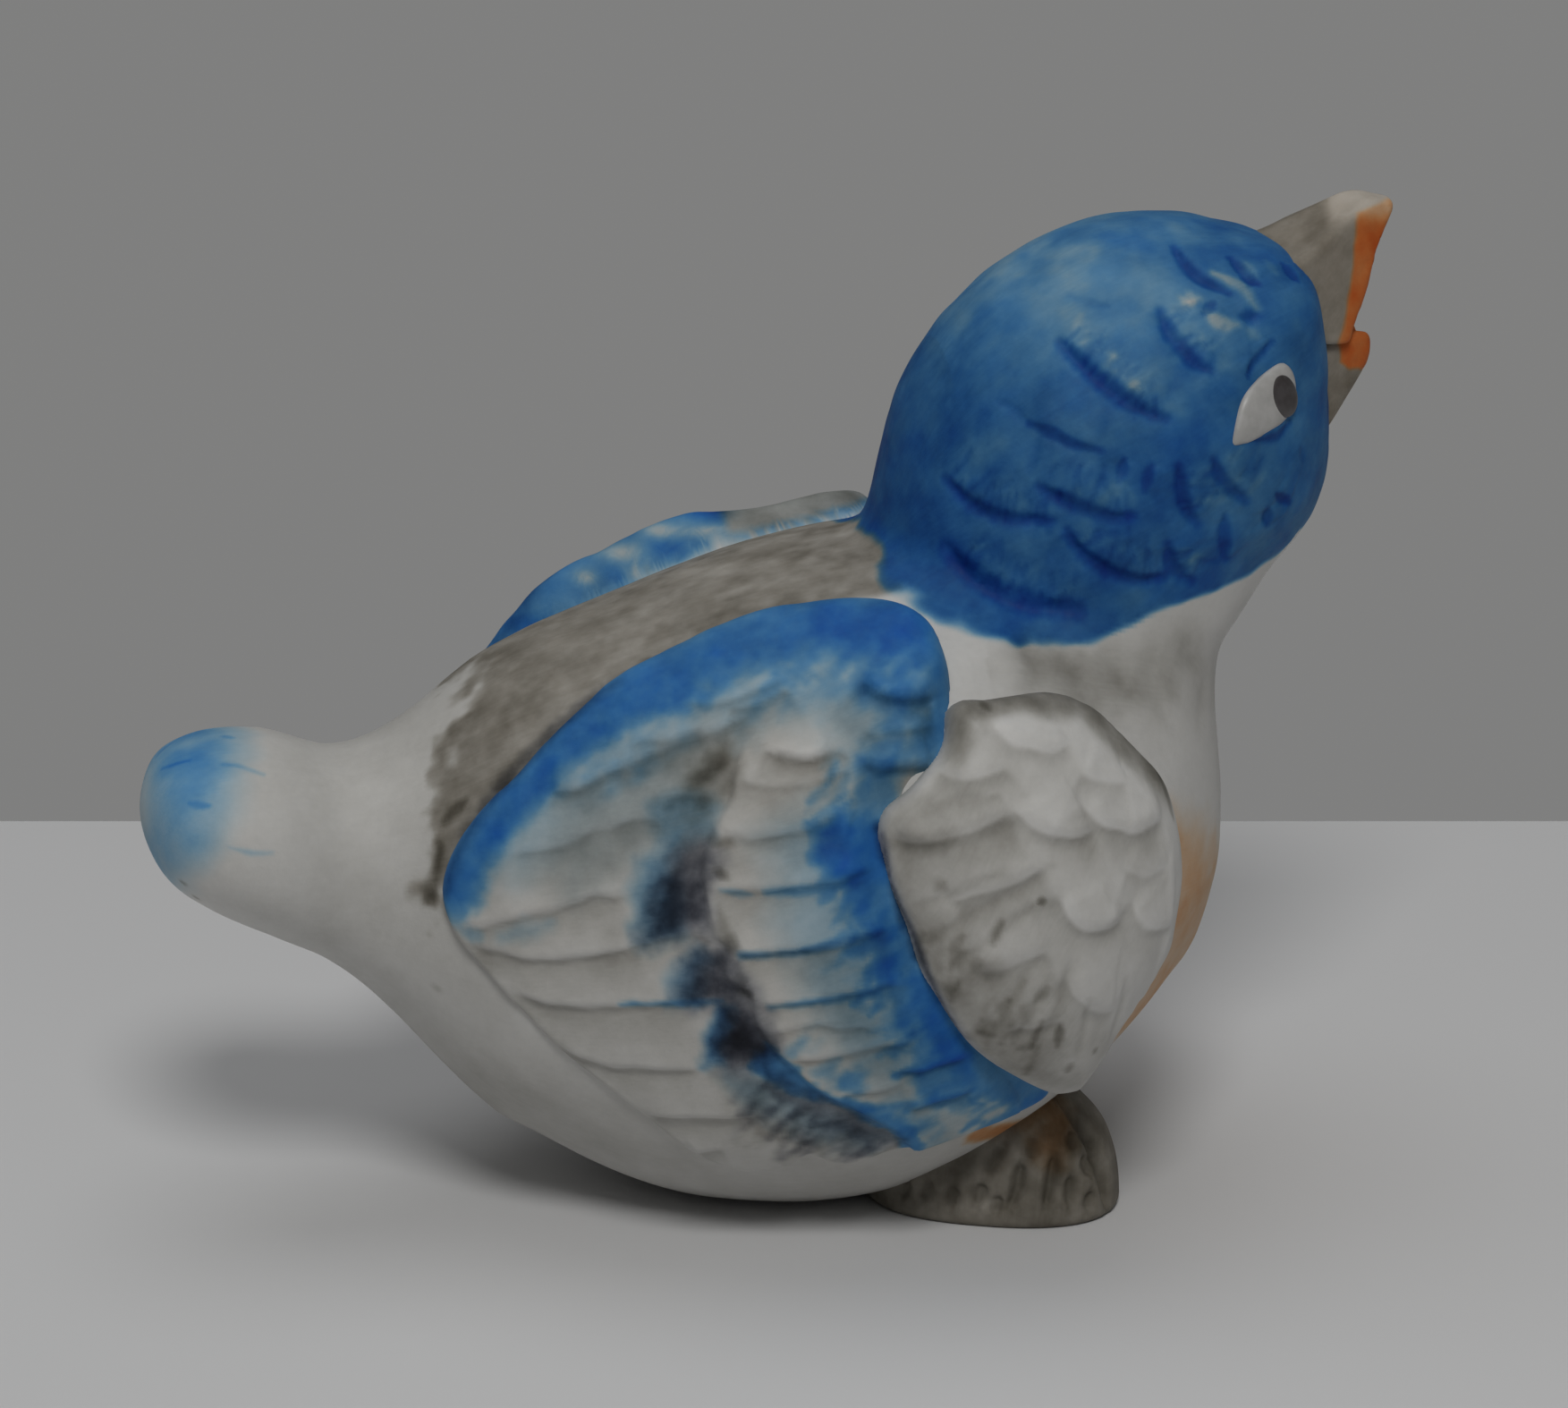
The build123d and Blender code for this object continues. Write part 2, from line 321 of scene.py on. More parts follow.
def subdivide(V, Q, levels):
    """Catmull-Clark."""
    me = bpy.data.meshes.new("work")
    fill_mesh(me, V, [Q])
    ob = bpy.data.objects.new("work", me)
    bpy.context.scene.collection.objects.link(ob)
    mod = ob.modifiers.new("s", "SUBSURF")
    mod.levels = levels
    dg = bpy.context.evaluated_depsgraph_get()
    ev = ob.evaluated_get(dg)
    out = ev.to_mesh()
    P = np.empty(len(out.vertices) * 3)
    out.vertices.foreach_get("co", P)
    F = np.empty(len(out.loops), np.int32)
    out.loops.foreach_get("vertex_index", F)
    ev.to_mesh_clear()
    bpy.data.objects.remove(ob)
    bpy.data.meshes.remove(me)
    return P.reshape(-1, 3) / MM, F.reshape(-1, 4).astype(int)


def sheet(f, lo, hi, h, levels=2):
    """Even, fine quads on the zero surface of f."""
    V, Q = nets(f, lo, hi, h)
    V = relax(V, Q, f)
    V, Q = subdivide(V, Q, levels)
    return project(V, f, 2), Q


def clip(V, groups, g):
    """Keeps g <= 0 and cuts exactly along g = 0."""
    keep_q, tris = [], []
    inside = g <= 0
    for F in groups:
        c = inside[F].sum(1)
        keep_q.append(F[c == F.shape[1]])
        X = F[(c > 0) & (c < F.shape[1])]
        for k in range(1, F.shape[1] - 1):
            tris.append(X[:, [0, k, k + 1]])
    T = np.concatenate(tris)
    c = inside[T].sum(1)
    whole, one, two = T[c == 3], T[c == 1], T[c == 2]

    def turn(T, first):
        return np.take_along_axis(T, (np.arange(3)[None] + first[:, None]) % 3, 1)

    one = turn(one, np.argmax(inside[one], 1))
    two = turn(two, np.argmin(inside[two], 1))
    pairs = np.concatenate([one[:, [0, 1]], one[:, [0, 2]], two[:, [0, 1]], two[:, [0, 2]]])
    key = np.sort(pairs, 1)
    uniq, back = np.unique(key, axis=0, return_inverse=True)
    back = back.ravel()
    ga, gb = g[uniq[:, 0]], g[uniq[:, 1]]
    t = (ga / (ga - gb))[:, None]
    NV = V[uniq[:, 0]] * (1 - t) + V[uniq[:, 1]] * t
    ids = back + len(V)
    n1, n2 = len(one), len(two)
    a1, a2, b1, b2 = ids[:n1], ids[n1:2 * n1], ids[2 * n1:2 * n1 + n2], ids[2 * n1 + n2:]
    small = np.concatenate([whole, np.stack([one[:, 0], a1, a2], 1)])
    quad = np.stack([b1, two[:, 1], two[:, 2], b2], 1)
    VV = np.concatenate([V, NV])
    out = [F for F in keep_q if len(F)] + [small, quad]
    return compact(VV, out)


def compact(V, groups):
    used = np.zeros(len(V), bool)
    for F in groups:
        used[F.ravel()] = True
    new = np.cumsum(used) - 1
    return V[used], [new[F] for F in groups if len(F)]


def border(groups, n):
    """Open border loops as ordered vertex lists, running as the faces do."""
    E = np.concatenate([np.stack([F[:, k], F[:, (k + 1) % F.shape[1]]], 1) for F in groups for k in range(F.shape[1])])
    key, rev = E[:, 0] * n + E[:, 1], E[:, 1] * n + E[:, 0]
    B = E[~np.isin(key, rev)]
    nxt = dict(zip(B[:, 0].tolist(), B[:, 1].tolist()))
    loops = []
    while nxt:
        start, cur = next(iter(nxt)), None
        loop, cur = [start], nxt.pop(start)
        while cur != start and cur in nxt:
            loop.append(cur)
            cur = nxt.pop(cur)
        loops.append(np.array(loop))
    return sorted(loops, key=len, reverse=True)


def cap(V, groups, loop, rings, middle):
    """Closes a border loop through extra rings of points (each as long as the loop) and a middle point."""
    last = loop
    for R in rings:
        ids = np.arange(len(V), len(V) + len(R))
        V = np.concatenate([V, R])
        groups = groups + [np.stack([np.roll(last, -1), last, ids, np.roll(ids, -1)], 1)]
        last = ids
    mid = len(V)
    V = np.concatenate([V, np.asarray(middle, float)[None]])
    groups = groups + [np.stack([np.roll(last, -1), last, np.full(len(last), mid)], 1)]
    return V, groups


def backed(V, groups, B, loops):
    """Closes a sheet with a second sheet B behind it and a rim along each border loop."""
    n = len(V)
    out = list(groups) + [F[:, ::-1] + n for F in groups]
    for L in loops:
        out.append(np.stack([np.roll(L, -1), L, L + n, np.roll(L, -1) + n], 1))
    return np.concatenate([V, B]), out


# ------------------------------------------------------------------ picture crops that the drawn lines were taken from
def crop(x0, y0, f):
    def at(*pts):
        return [(x0 + x / f, y0 + y / f) for x, y in pts]
    return at


HD, WT, WL = crop(900, 180, 2.24), crop(440, 500, 2.376), crop(440, 850, 2.376)
DM, TL, FT, BK = crop(940, 640, 2.529), crop(120, 760, 3.266), crop(940, 1150, 3.409), crop(1350, 190, 4.75)
BP, DB = crop(480, 930, 1.8333), crop(960, 760, 2.2)


def curve(pts, step, closed=False):
    """Smooth evenly spaced points through the given ones."""
    p = np.asarray(pts, float)
    if closed:
        p = np.concatenate([p[-1:], p, p[:2]])
    else:
        p = np.concatenate([2 * p[:1] - p[1:2], p, 2 * p[-1:] - p[-2:-1]])
    out = []
    for i in range(1, len(p) - 2):
        a, b, c, d = p[i - 1:i + 3]
        n = max(1, int(np.linalg.norm(c - b) / step))
        t = (np.arange(n) / n)[:, None]
        out.append(0.5 * (2 * b + (c - a) * t + (2 * a - 5 * b + 4 * c - d) * t ** 2 + (3 * b - a - 3 * c + d) * t ** 3))
    if not closed:
        out.append(p[-2:-1])
    return np.concatenate(out)


def cast_field(px, f, off=0.0):
    """Where rays through picture points meet the surface f = off."""
    d = rays(px)
    t = np.full(len(d), DIST - 60.0)
    for _ in range(160):
        P = EYE + d * t[:, None]
        t = t + 0.7 * np.clip(f(P) - off, -3, 3)
    P = EYE + d * t[:, None]
    return P, np.abs(f(P) - off) < 0.1


# ------------------------------------------------------------------ wing: outline on the skin
WING_PX = ([(499, 1000), (508, 955), (538, 907), (583, 858), (621, 816), (659, 782), (693, 757), (735, 736), (772, 719),
            (810, 702), (861, 685), (903, 678), (945, 673), (1000, 675), (1042, 696), (1061, 736), (1066, 780), (1062, 820),
            (1075, 900), (1105, 1000), (1140, 1090), (1176, 1180), (1180, 1215), (1168, 1231), (1130, 1251), (1097, 1264), (1063, 1276), (1025, 1287),
            (1000, 1290), (958, 1305), (928, 1305), (907, 1296), (882, 1311), (840, 1315), (798, 1305), (760, 1284), (726, 1256),
            (676, 1218), (629, 1180), (591, 1141), (558, 1104), (516, 1050)])


half_width = hermite([r[0] for r in TORSO], [r[2] for r in TORSO])(GRID)
slope = np.gradient(half_width, GRID) * ((GRID > -28) & (GRID < 33))
along = tabled(np.cumsum(np.sqrt(1 + slope ** 2)) * 0.02)


def unroll(P):
    """Flank position: along the body, and round it, both in mm. For the right side."""
    return np.stack([along(P[:, 0]), np.arctan2(P[:, 2] - 25.5, -P[:, 1]) * 26.0], 1)


def poly_distance(p, poly):
    """Signed distance to a closed polygon, negative inside."""
    a, b = poly, np.roll(poly, -1, 0)
    best = np.full(len(p), 1e9)
    inside = np.zeros(len(p), bool)
    for i in range(len(a)):
        e = b[i] - a[i]
        w = p - a[i]
        t = np.clip((w @ e) / max(e @ e, 1e-12), 0, 1)
        dd = w - np.outer(t, e)
        best = np.minimum(best, (dd * dd).sum(1))
        cond = (a[i][1] > p[:, 1]) != (b[i][1] > p[:, 1])
        if e[1] != 0:
            inside ^= cond & (p[:, 0] < a[i][0] + e[0] * (p[:, 1] - a[i][1]) / e[1])
    return np.where(inside, -1, 1) * np.sqrt(best)


DOME_PX = DM((300, 380), (340, 350), (400, 350), (450, 342), (580, 328), (704, 358), (790, 418), (854, 476), (904, 532), (932, 596), (956, 700), (970, 800),
             (970, 900), (950, 1060), (925, 1140), (870, 1230), (800, 1310), (740, 1390), (680, 1440), (620, 1470), (560, 1470), (480, 1430), (390, 1370),
             (330, 1300), (270, 1200), (230, 1130), (190, 1000), (150, 900), (125, 800), (110, 730), (130, 660), (200, 600), (280, 500), (300, 430))


def outline_on(px, lift):
    """A closed picture outline on the flank, in unrolled mm; lift(px) is how far over the skin it is seen."""
    p = curve(px, 8, closed=True)
    out = np.zeros((len(p), 3))
    ok = np.zeros(len(p), bool)
    levels = np.unique(np.round(lift(p), 1))
    for v in levels:
        m = np.round(lift(p), 1) == v
        out[m], ok[m] = cast_field(p[m], skin, v)
    return unroll(out[ok])


# along the back the wing stands higher over the skin than along the flank
WING_POLY = outline_on(WING_PX, lambda p: .6 + .3 * smooth(1000, 760, p[:, 1]))
DOME_POLY = outline_on(DOME_PX, lambda p: 1.0 + 2.6 * smooth(1150, 1310, p[:, 0]))


def quarter(u):
    u = np.clip(u, 0, 1)
    return np.sqrt(np.maximum(1 - (1 - u) ** 2, 0))


def wing_height(P, g, gd):
    """Relief of the wing over the flank; g is the distance from its outline and gd from the shoulder's, negative inside."""
    th = np.degrees(unroll(P)[:, 1] / 26.0)
    T = 1.0 + 1.0 * smooth(-20, 30, th) + 1.1 * smooth(35, 62, th) * smooth(-24, -4, P[:, 0])
    width = 1.2 + 0.9 * smooth(10, 45, th)
    T = T * (.30 + .70 * smooth(-.3, 2.6, gd))
    return T * quarter(-g / width) - 0.3


def dome_height(P, g):
    """Relief of the shoulder over the flank: a crisp low step, then a dome."""
    return 1.5 * quarter(-g / .9) + 3.8 * quarter(-g / 14.0) ** 1.25 - 0.4


# ------------------------------------------------------------------ coarse shapes of the pieces
PIECES = {}


def add_piece(name, V, N, groups, outer, B=None):
    """V with normals N; the first `outer` groups carry relief and paint."""
    PIECES[name] = {"V": V, "N": N, "groups": groups, "outer": outer, "B": B}


# skin of head, body and tail
Vh, Qh = sheet(skin, (2, -22, 40), (52, 22, 84), 0.95)
Vh, Gh = clip(Vh, [Qh], -((Vh - SEAM) @ SEAM_N))
Vb, Qb = sheet(skin, (-36, -32, -3), (44, 32, 60), 1.3)
Vb, Gb = clip(Vb, [Qb], (Vb - SEAM) @ SEAM_N)
Vb, Gb = clip(Vb, Gb, TAIL_CUT - Vb[:, 0])
Vt, Qt = sheet(skin, (-54, -16, 4), (-22, 16, 48), 0.95)
Vt, Gt = clip(Vt, [Qt], Vt[:, 0] - TAIL_CUT)
add_piece("head_shell", Vh, normals(Vh, skin), Gh, len(Gh))
add_piece("body_shell", Vb, normals(Vb, skin), Gb, len(Gb))
add_piece("tail", Vt, normals(Vt, skin), Gt, len(Gt))

# wing sheet on the right flank
Vw, Qw = sheet(skin, (-34, -32, -2), (28, 3, 60), 1.05)
gw = poly_distance(unroll(Vw), WING_POLY)
gw = np.where(Vw[:, 1] > -0.5, 9.0, gw)
Vw, Gw = clip(Vw, [Qw], gw)
gw = poly_distance(unroll(Vw), WING_POLY)
gd = poly_distance(unroll(Vw), DOME_POLY)
Nw = normals(Vw, skin)
Bw = Vw - Nw * 0.7
add_piece("right_wing", Vw + Nw * wing_height(Vw, gw, gd)[:, None], Nw, Gw, len(Gw), Bw)


# shoulder dome on the right
def outer_normals(V, groups):
    """Normals of a displaced sheet, from its faces."""
    N = np.zeros_like(V)
    for F in groups:
        d1, d2 = V[F[:, 2]] - V[F[:, 0]], V[F[:, -1]] - V[F[:, 1]]
        n = np.cross(d1, d2)
        for k in range(F.shape[1]):
            for c in range(3):
                N[:, c] += np.bincount(F[:, k], n[:, c], len(V))
    return N / np.maximum(np.linalg.norm(N, axis=1), 1e-9)[:, None]


Vs, Qs = sheet(skin, (-4, -32, 6), (36, -6, 52), 0.8)
Vs, Gs = clip(Vs, [Qs], np.where(Vs[:, 1] > -7, 9.0, poly_distance(unroll(Vs), DOME_POLY)))
gs = poly_distance(unroll(Vs), DOME_POLY)
Ns = normals(Vs, skin)
Bs = Vs - Ns * 0.8
Vs = Vs + Ns * dome_height(Vs, gs)[:, None]
add_piece("right_shoulder", Vs, outer_normals(Vs, Gs), Gs, len(Gs), Bs)

# foot on the right: a rounded wedge that points forward and out
FOOT_A = math.radians(-24.0)
FOOT_C, FOOT_R = np.array([16.9, -9.8, 0.0]), np.array([10.1, 7.0, 11.0])


def foot(P):
    d = P - FOOT_C
    u = d[:, 0] * math.cos(FOOT_A) + d[:, 1] * math.sin(FOOT_A)
    v = -d[:, 0] * math.sin(FOOT_A) + d[:, 1] * math.cos(FOOT_A)
    q = np.stack([u / FOOT_R[0], v / FOOT_R[1], d[:, 2] / FOOT_R[2]], 1)
    k = (np.abs(q) ** 2.4).sum(1) ** (1 / 2.4)
    return smax((k - 1) * 7.0, -P[:, 2], 0.7)


Vf, Qf = sheet(foot, (-2, -24, -2), (32, 6, 14), 0.7)
add_piece("right_foot", Vf, normals(Vf, foot), [Qf], 1)


# beak halves: rounded wedges with chamfered lips round a hollow mouth
def plane(P, n, at):
    n = np.asarray(n, float)
    n = n / np.linalg.norm(n)
    return (np.stack([P[:, 0], np.abs(P[:, 1]), P[:, 2]], 1) - np.asarray(at, float)) @ n


def ellipsoid(P, c, r, tilt=0.0):
    d = P - np.asarray(c, float)
    ct, st = math.cos(math.radians(tilt)), math.sin(math.radians(tilt))
    q = np.stack([(d[:, 0] * ct + d[:, 2] * st) / r[0], d[:, 1] / r[1], (-d[:, 0] * st + d[:, 2] * ct) / r[2]], 1)
    k = np.sqrt((q * q).sum(1))
    return (k - 1) * min(r)


def upper_beak(P):
    d = plane(P, (-0.39, 0.30, 0.92), (45.0, 0.0, 77.3))
    d = smax(d, plane(P, (0.25, 0.10, 0.97), (48.3, 0.0, 78.0)), 0.8)
    d = smax(d, plane(P, (0.43, 0.895, 0.10), (50.3, 1.7, 76.2)), 0.8)
    d = smax(d, plane(P, (0.918, 0.0, -0.398), (50.3, 0.0, 76.2)), 0.7)
    d = smax(d, plane(P, (-0.15, 0.0, -0.99), (46.0, 0.0, 66.8)), 0.5)
    d = smax(d, 37.5 - P[:, 0], 0.5)
    return smax(d, -ellipsoid(P, (49.4, 0, 71.2), (3.4, 2.9, 5.6), -22), 0.5)


def lower_beak(P):
    d = plane(P, (-0.10, 0.10, 0.98), (47.6, 0.0, 67.75))
    d = smax(d, plane(P, (0.43, 0.90, -0.04), (48.6, 2.6, 65.4)), 1.0)
    d = smax(d, plane(P, (0.80, 0.0, -0.60), (48.2, 0.0, 64.2)), 1.0)
    d = smax(d, plane(P, (0.99, 0.0, 0.10), (48.8, 0.0, 65.4)), 0.8)
    d = smax(d, 37.5 - P[:, 0], 0.5)
    d = smax(d, 57.2 - P[:, 2], 0.4)
    return smax(d, -ellipsoid(P, (47.6, 0, 68.6), (4.0, 2.6, 2.6), 10), 0.5)


Vu, Qu = sheet(upper_beak, (36, -10, 64), (52, 10, 80), 0.55)
Vl, Ql = sheet(lower_beak, (36, -10, 56), (52, 10, 70), 0.55)
add_piece("upper_beak", Vu, normals(Vu, upper_beak), [Qu], 1)
add_piece("lower_beak", Vl, normals(Vl, lower_beak), [Ql], 1)


# ------------------------------------------------------------------ lines drawn on the surface
def tree_of(piece):
    V = piece["V"]
    faces = [f for F in piece["groups"][:piece["outer"]] for f in F.tolist()]
    return BVHTree.FromPolygons([tuple(v) for v in V.tolist()], faces)


TREES = {k: tree_of(PIECES[k]) for k in ("head_shell", "body_shell", "tail", "right_wing", "right_shoulder", "right_foot",
                                        "upper_beak", "lower_beak")}


BOTH = ("head_shell", "body_shell")


def cast(piece, px):
    """Points where rays through picture points first meet a piece; misses are left out."""
    out = []
    o = Vector(EYE)
    trees = [TREES[k] for k in (BOTH if piece in BOTH else (piece,))]
    for d in rays(px):
        hits = [h for h in (t.ray_cast(o, Vector(d)) for t in trees) if h[0] is not None]
        if hits:
            out.append(tuple(min(hits, key=lambda h: h[3])[0]))
    return np.array(out) if out else np.zeros((0, 3))


def line_on(piece, pts):
    return cast(piece, curve(pts, 8))


def near(P, N, line, reach):
    """For the points within reach of a line: index, distance, place along it 0..1, and side (+1 / -1)."""
    lo, hi = line.min(0) - reach, line.max(0) + reach
    idx = np.where(((P > lo) & (P < hi)).all(1))[0]
    Q, best = P[idx], np.full(len(idx), 1e9)
    par, off, tan = np.zeros(len(idx)), np.zeros((len(idx), 3)), np.zeros((len(idx), 3))
    seg = np.diff(line, axis=0)
    L = np.linalg.norm(seg, axis=1)
    run = np.concatenate([[0], np.cumsum(L)])
    for k in range(len(seg)):
        if L[k] < 1e-6:
            continue
        w = Q - line[k]
        t = np.clip((w @ seg[k]) / L[k] ** 2, 0, 1)
        d = w - np.outer(t, seg[k])
        dd = np.sqrt((d * d).sum(1))
        m = dd < best
        best[m], par[m], off[m], tan[m] = dd[m], run[k] + t[m] * L[k], d[m], seg[k] / L[k]
    side = np.sign((np.cross(N[idx], tan) * off).sum(1))
    keep = best < reach
    return idx[keep], best[keep], (par / max(run[-1], 1e-6))[keep], side[keep]


def mirrored(line, seed):
    out = line * np.array([1, -1, 1])
    shift = np.stack([noise(out, 9.0, seed + k) for k in range(3)], 1)
    return out + 0.5 * shift


# relief lines: piece, points, depth, half width, rise on the one side, how far that side runs out
GROOVES = []
# paint: piece, pigment, points, half width, soft edge, strength
PAINT = []
# painted shade under a feather's edge, with a painted highlight along the edge: piece, points, strength, reach
SHADES = []
# painted areas: piece, pigment, picture outline, soft edge in px, strength
AREAS = []


def area(piece, pigment, px, soft, strength):
    AREAS.append((piece, pigment, np.asarray(px, float), soft, strength))


def groove(piece, pts, depth, half, rise=0.0, run=2.0, deep=0.0, pigment="blue"):
    GROOVES.append((piece, pts, depth, half, rise, run))
    if deep and piece == "head_shell":
        PAINT.append((piece, "blue", pts, half * 0.78, half * 0.7, deep * .60))
        PAINT.append((piece, "navy", pts, half * 0.70, half * 0.6, deep * .13))
    elif deep:
        PAINT.append((piece, pigment, pts, half * 0.75, half * 0.8, deep))


BRUSH = np.random.default_rng(911)


def loose(path, count, aside, length, angle, spread):
    """Short loose strokes beside a drawn path: px aside (to the right of its run), px length, picture angle and its spread."""
    p = curve(path, 4)
    tan = np.gradient(p, axis=0)
    tan = tan / np.maximum(np.linalg.norm(tan, axis=1), 1e-6)[:, None]
    out = []
    for _ in range(count):
        i = BRUSH.integers(len(p))
        a = p[i] + np.array([-tan[i][1], tan[i][0]]) * BRUSH.uniform(*aside)
        th = math.radians(angle + BRUSH.normal() * spread)
        L = BRUSH.uniform(*length)
        d = np.array([math.cos(th), math.sin(th)])
        bend = BRUSH.normal() * .10 * L * np.array([-d[1], d[0]])
        out.append([tuple(a), tuple(a + d * L * .5 + bend), tuple(a + d * L)])
    return out


def comb(path, every, aside, length, spread):
    """Short even strokes square to a drawn path, on the left of its run."""
    p = curve(path, 2)
    tan = np.gradient(p, axis=0)
    tan = tan / np.maximum(np.linalg.norm(tan, axis=1), 1e-6)[:, None]
    run = np.concatenate([[0], np.cumsum(np.linalg.norm(np.diff(p, axis=0), axis=1))])
    out, at = [], BRUSH.uniform(2, every)
    while at < run[-1] - 3:
        i = int(np.searchsorted(run, at))
        th = math.atan2(tan[i][1], tan[i][0]) - math.pi / 2 + math.radians(BRUSH.normal() * spread)
        d, L = np.array([math.cos(th), math.sin(th)]), BRUSH.uniform(*length)
        a = p[i] + d * BRUSH.uniform(*aside)
        out.append([tuple(a), tuple(a + d * L * .5 + tan[i] * BRUSH.normal() * .8), tuple(a + d * L)])
        at += every * BRUSH.uniform(.75, 1.3)
    return out


def brush(piece, pigment, strokes, half, strength, soft=.5):
    for pts in strokes:
        PAINT.append((piece, pigment, pts, BRUSH.uniform(*half), soft, BRUSH.uniform(*strength)))


# head: cut feather marks
HEAD_CUTS = []
for pts, depth, half in [
        (HD((350, 795), (395, 840), (460, 880), (530, 895), (620, 900)), .40, .62),
        (HD((585, 815), (640, 845), (700, 870), (760, 890), (820, 890)), .42, .66),
        (HD((655, 925), (680, 970), (730, 1010), (790, 1040), (850, 1050), (905, 1045)), .42, .62),
        (HD((355, 970), (400, 1020), (450, 1060), (520, 1095), (600, 1115), (680, 1125)), .45, .80),
        (HD((935, 765), (945, 820), (955, 870), (985, 910)), .42, .60),
        (HD((1025, 750), (1045, 790), (1075, 825), (1105, 850)), .38, .58),
        (HD((910, 960), (920, 1000), (940, 1035), (970, 1055)), .40, .60),
        (HD((1055, 890), (1050, 940), (1053, 1000)), .34, .50),
        (HD((1160, 870), (1158, 910)), .30, .42),
        (HD((1180, 835), (1210, 855)), .26, .40),
        (HD((800, 750), (795, 780), (785, 800)), .22, .40),
        (HD((870, 760), (855, 800), (850, 825)), .16, .40),
        (HD((560, 655), (620, 680), (680, 710), (740, 725)), .16, .45),
        (HD((640, 455), (680, 495), (730, 540), (790, 590), (850, 625), (905, 645)), .50, .70),
        (HD((890, 370), (905, 410), (940, 460), (980, 505), (1020, 530)), .46, .66),
        (HD((920, 215), (950, 255), (985, 290), (1025, 310), (1060, 330)), .34, .50),
        (HD((1065, 245), (1095, 270), (1120, 300), (1135, 310)), .32, .48),
        (HD((1095, 390), (1130, 385)), .34, .60),
        (HD((1110, 540), (1125, 505), (1150, 475), (1170, 450)), .26, .34),
        (HD((1195, 260), (1220, 285), (1235, 300)), .22, .40),
        (HD((1025, 355), (1000, 380)), .22, .40),
        (HD((1130, 700), (1180, 690), (1215, 655)), .20, .40)]:
    groove("head_shell", pts, depth * .95, half * 1.08, .20, 1.6, deep=1.0)
    HEAD_CUTS.append((pts, depth))
# fluffy barbs over the deeper cuts
for pts, depth in HEAD_CUTS:
    if depth < .38:
        continue
    for b in comb(pts, 8.5, (-6, 6), (8, 34), 13):
        if BRUSH.random() < .75:
            groove("head_shell", b, .06, .26, deep=BRUSH.uniform(.20, .52))
    for b in comb(pts, 10.0, (16, 34), (12, 30), 13):
        if BRUSH.random() < .7:
            groove("head_shell", b, .05, .28, deep=BRUSH.uniform(.12, .38))
    for b in comb(pts, 11.0, (4, 26), (10, 22), 13):
        PAINT.append(("head_shell", "blue", b, .24, .4, -BRUSH.uniform(.08, .26)))
    for b in comb(pts, 14.0, (-16, -8), (10, 16), 14):
        PAINT.append(("head_shell", "blue", b, .26, .4, BRUSH.uniform(.08, .24)))
# worn paint on the ridge over the two high cuts
for pts in (HD((690, 440), (745, 500), (800, 545), (850, 590)), HD((925, 380), (960, 425), (1010, 475), (1050, 500))):
    PAINT.append(("head_shell", "blue", pts, .8, 1.6, -.15))
for pts in [HD((665, 340), (720, 355), (760, 365)), HD((480, 600), (520, 620), (560, 660)), HD((585, 700), (575, 740), (560, 780)),
            HD((640, 940), (610, 1000)), HD((1240, 720), (1245, 750))]:
    groove("head_shell", pts, .12, .45, deep=.25)

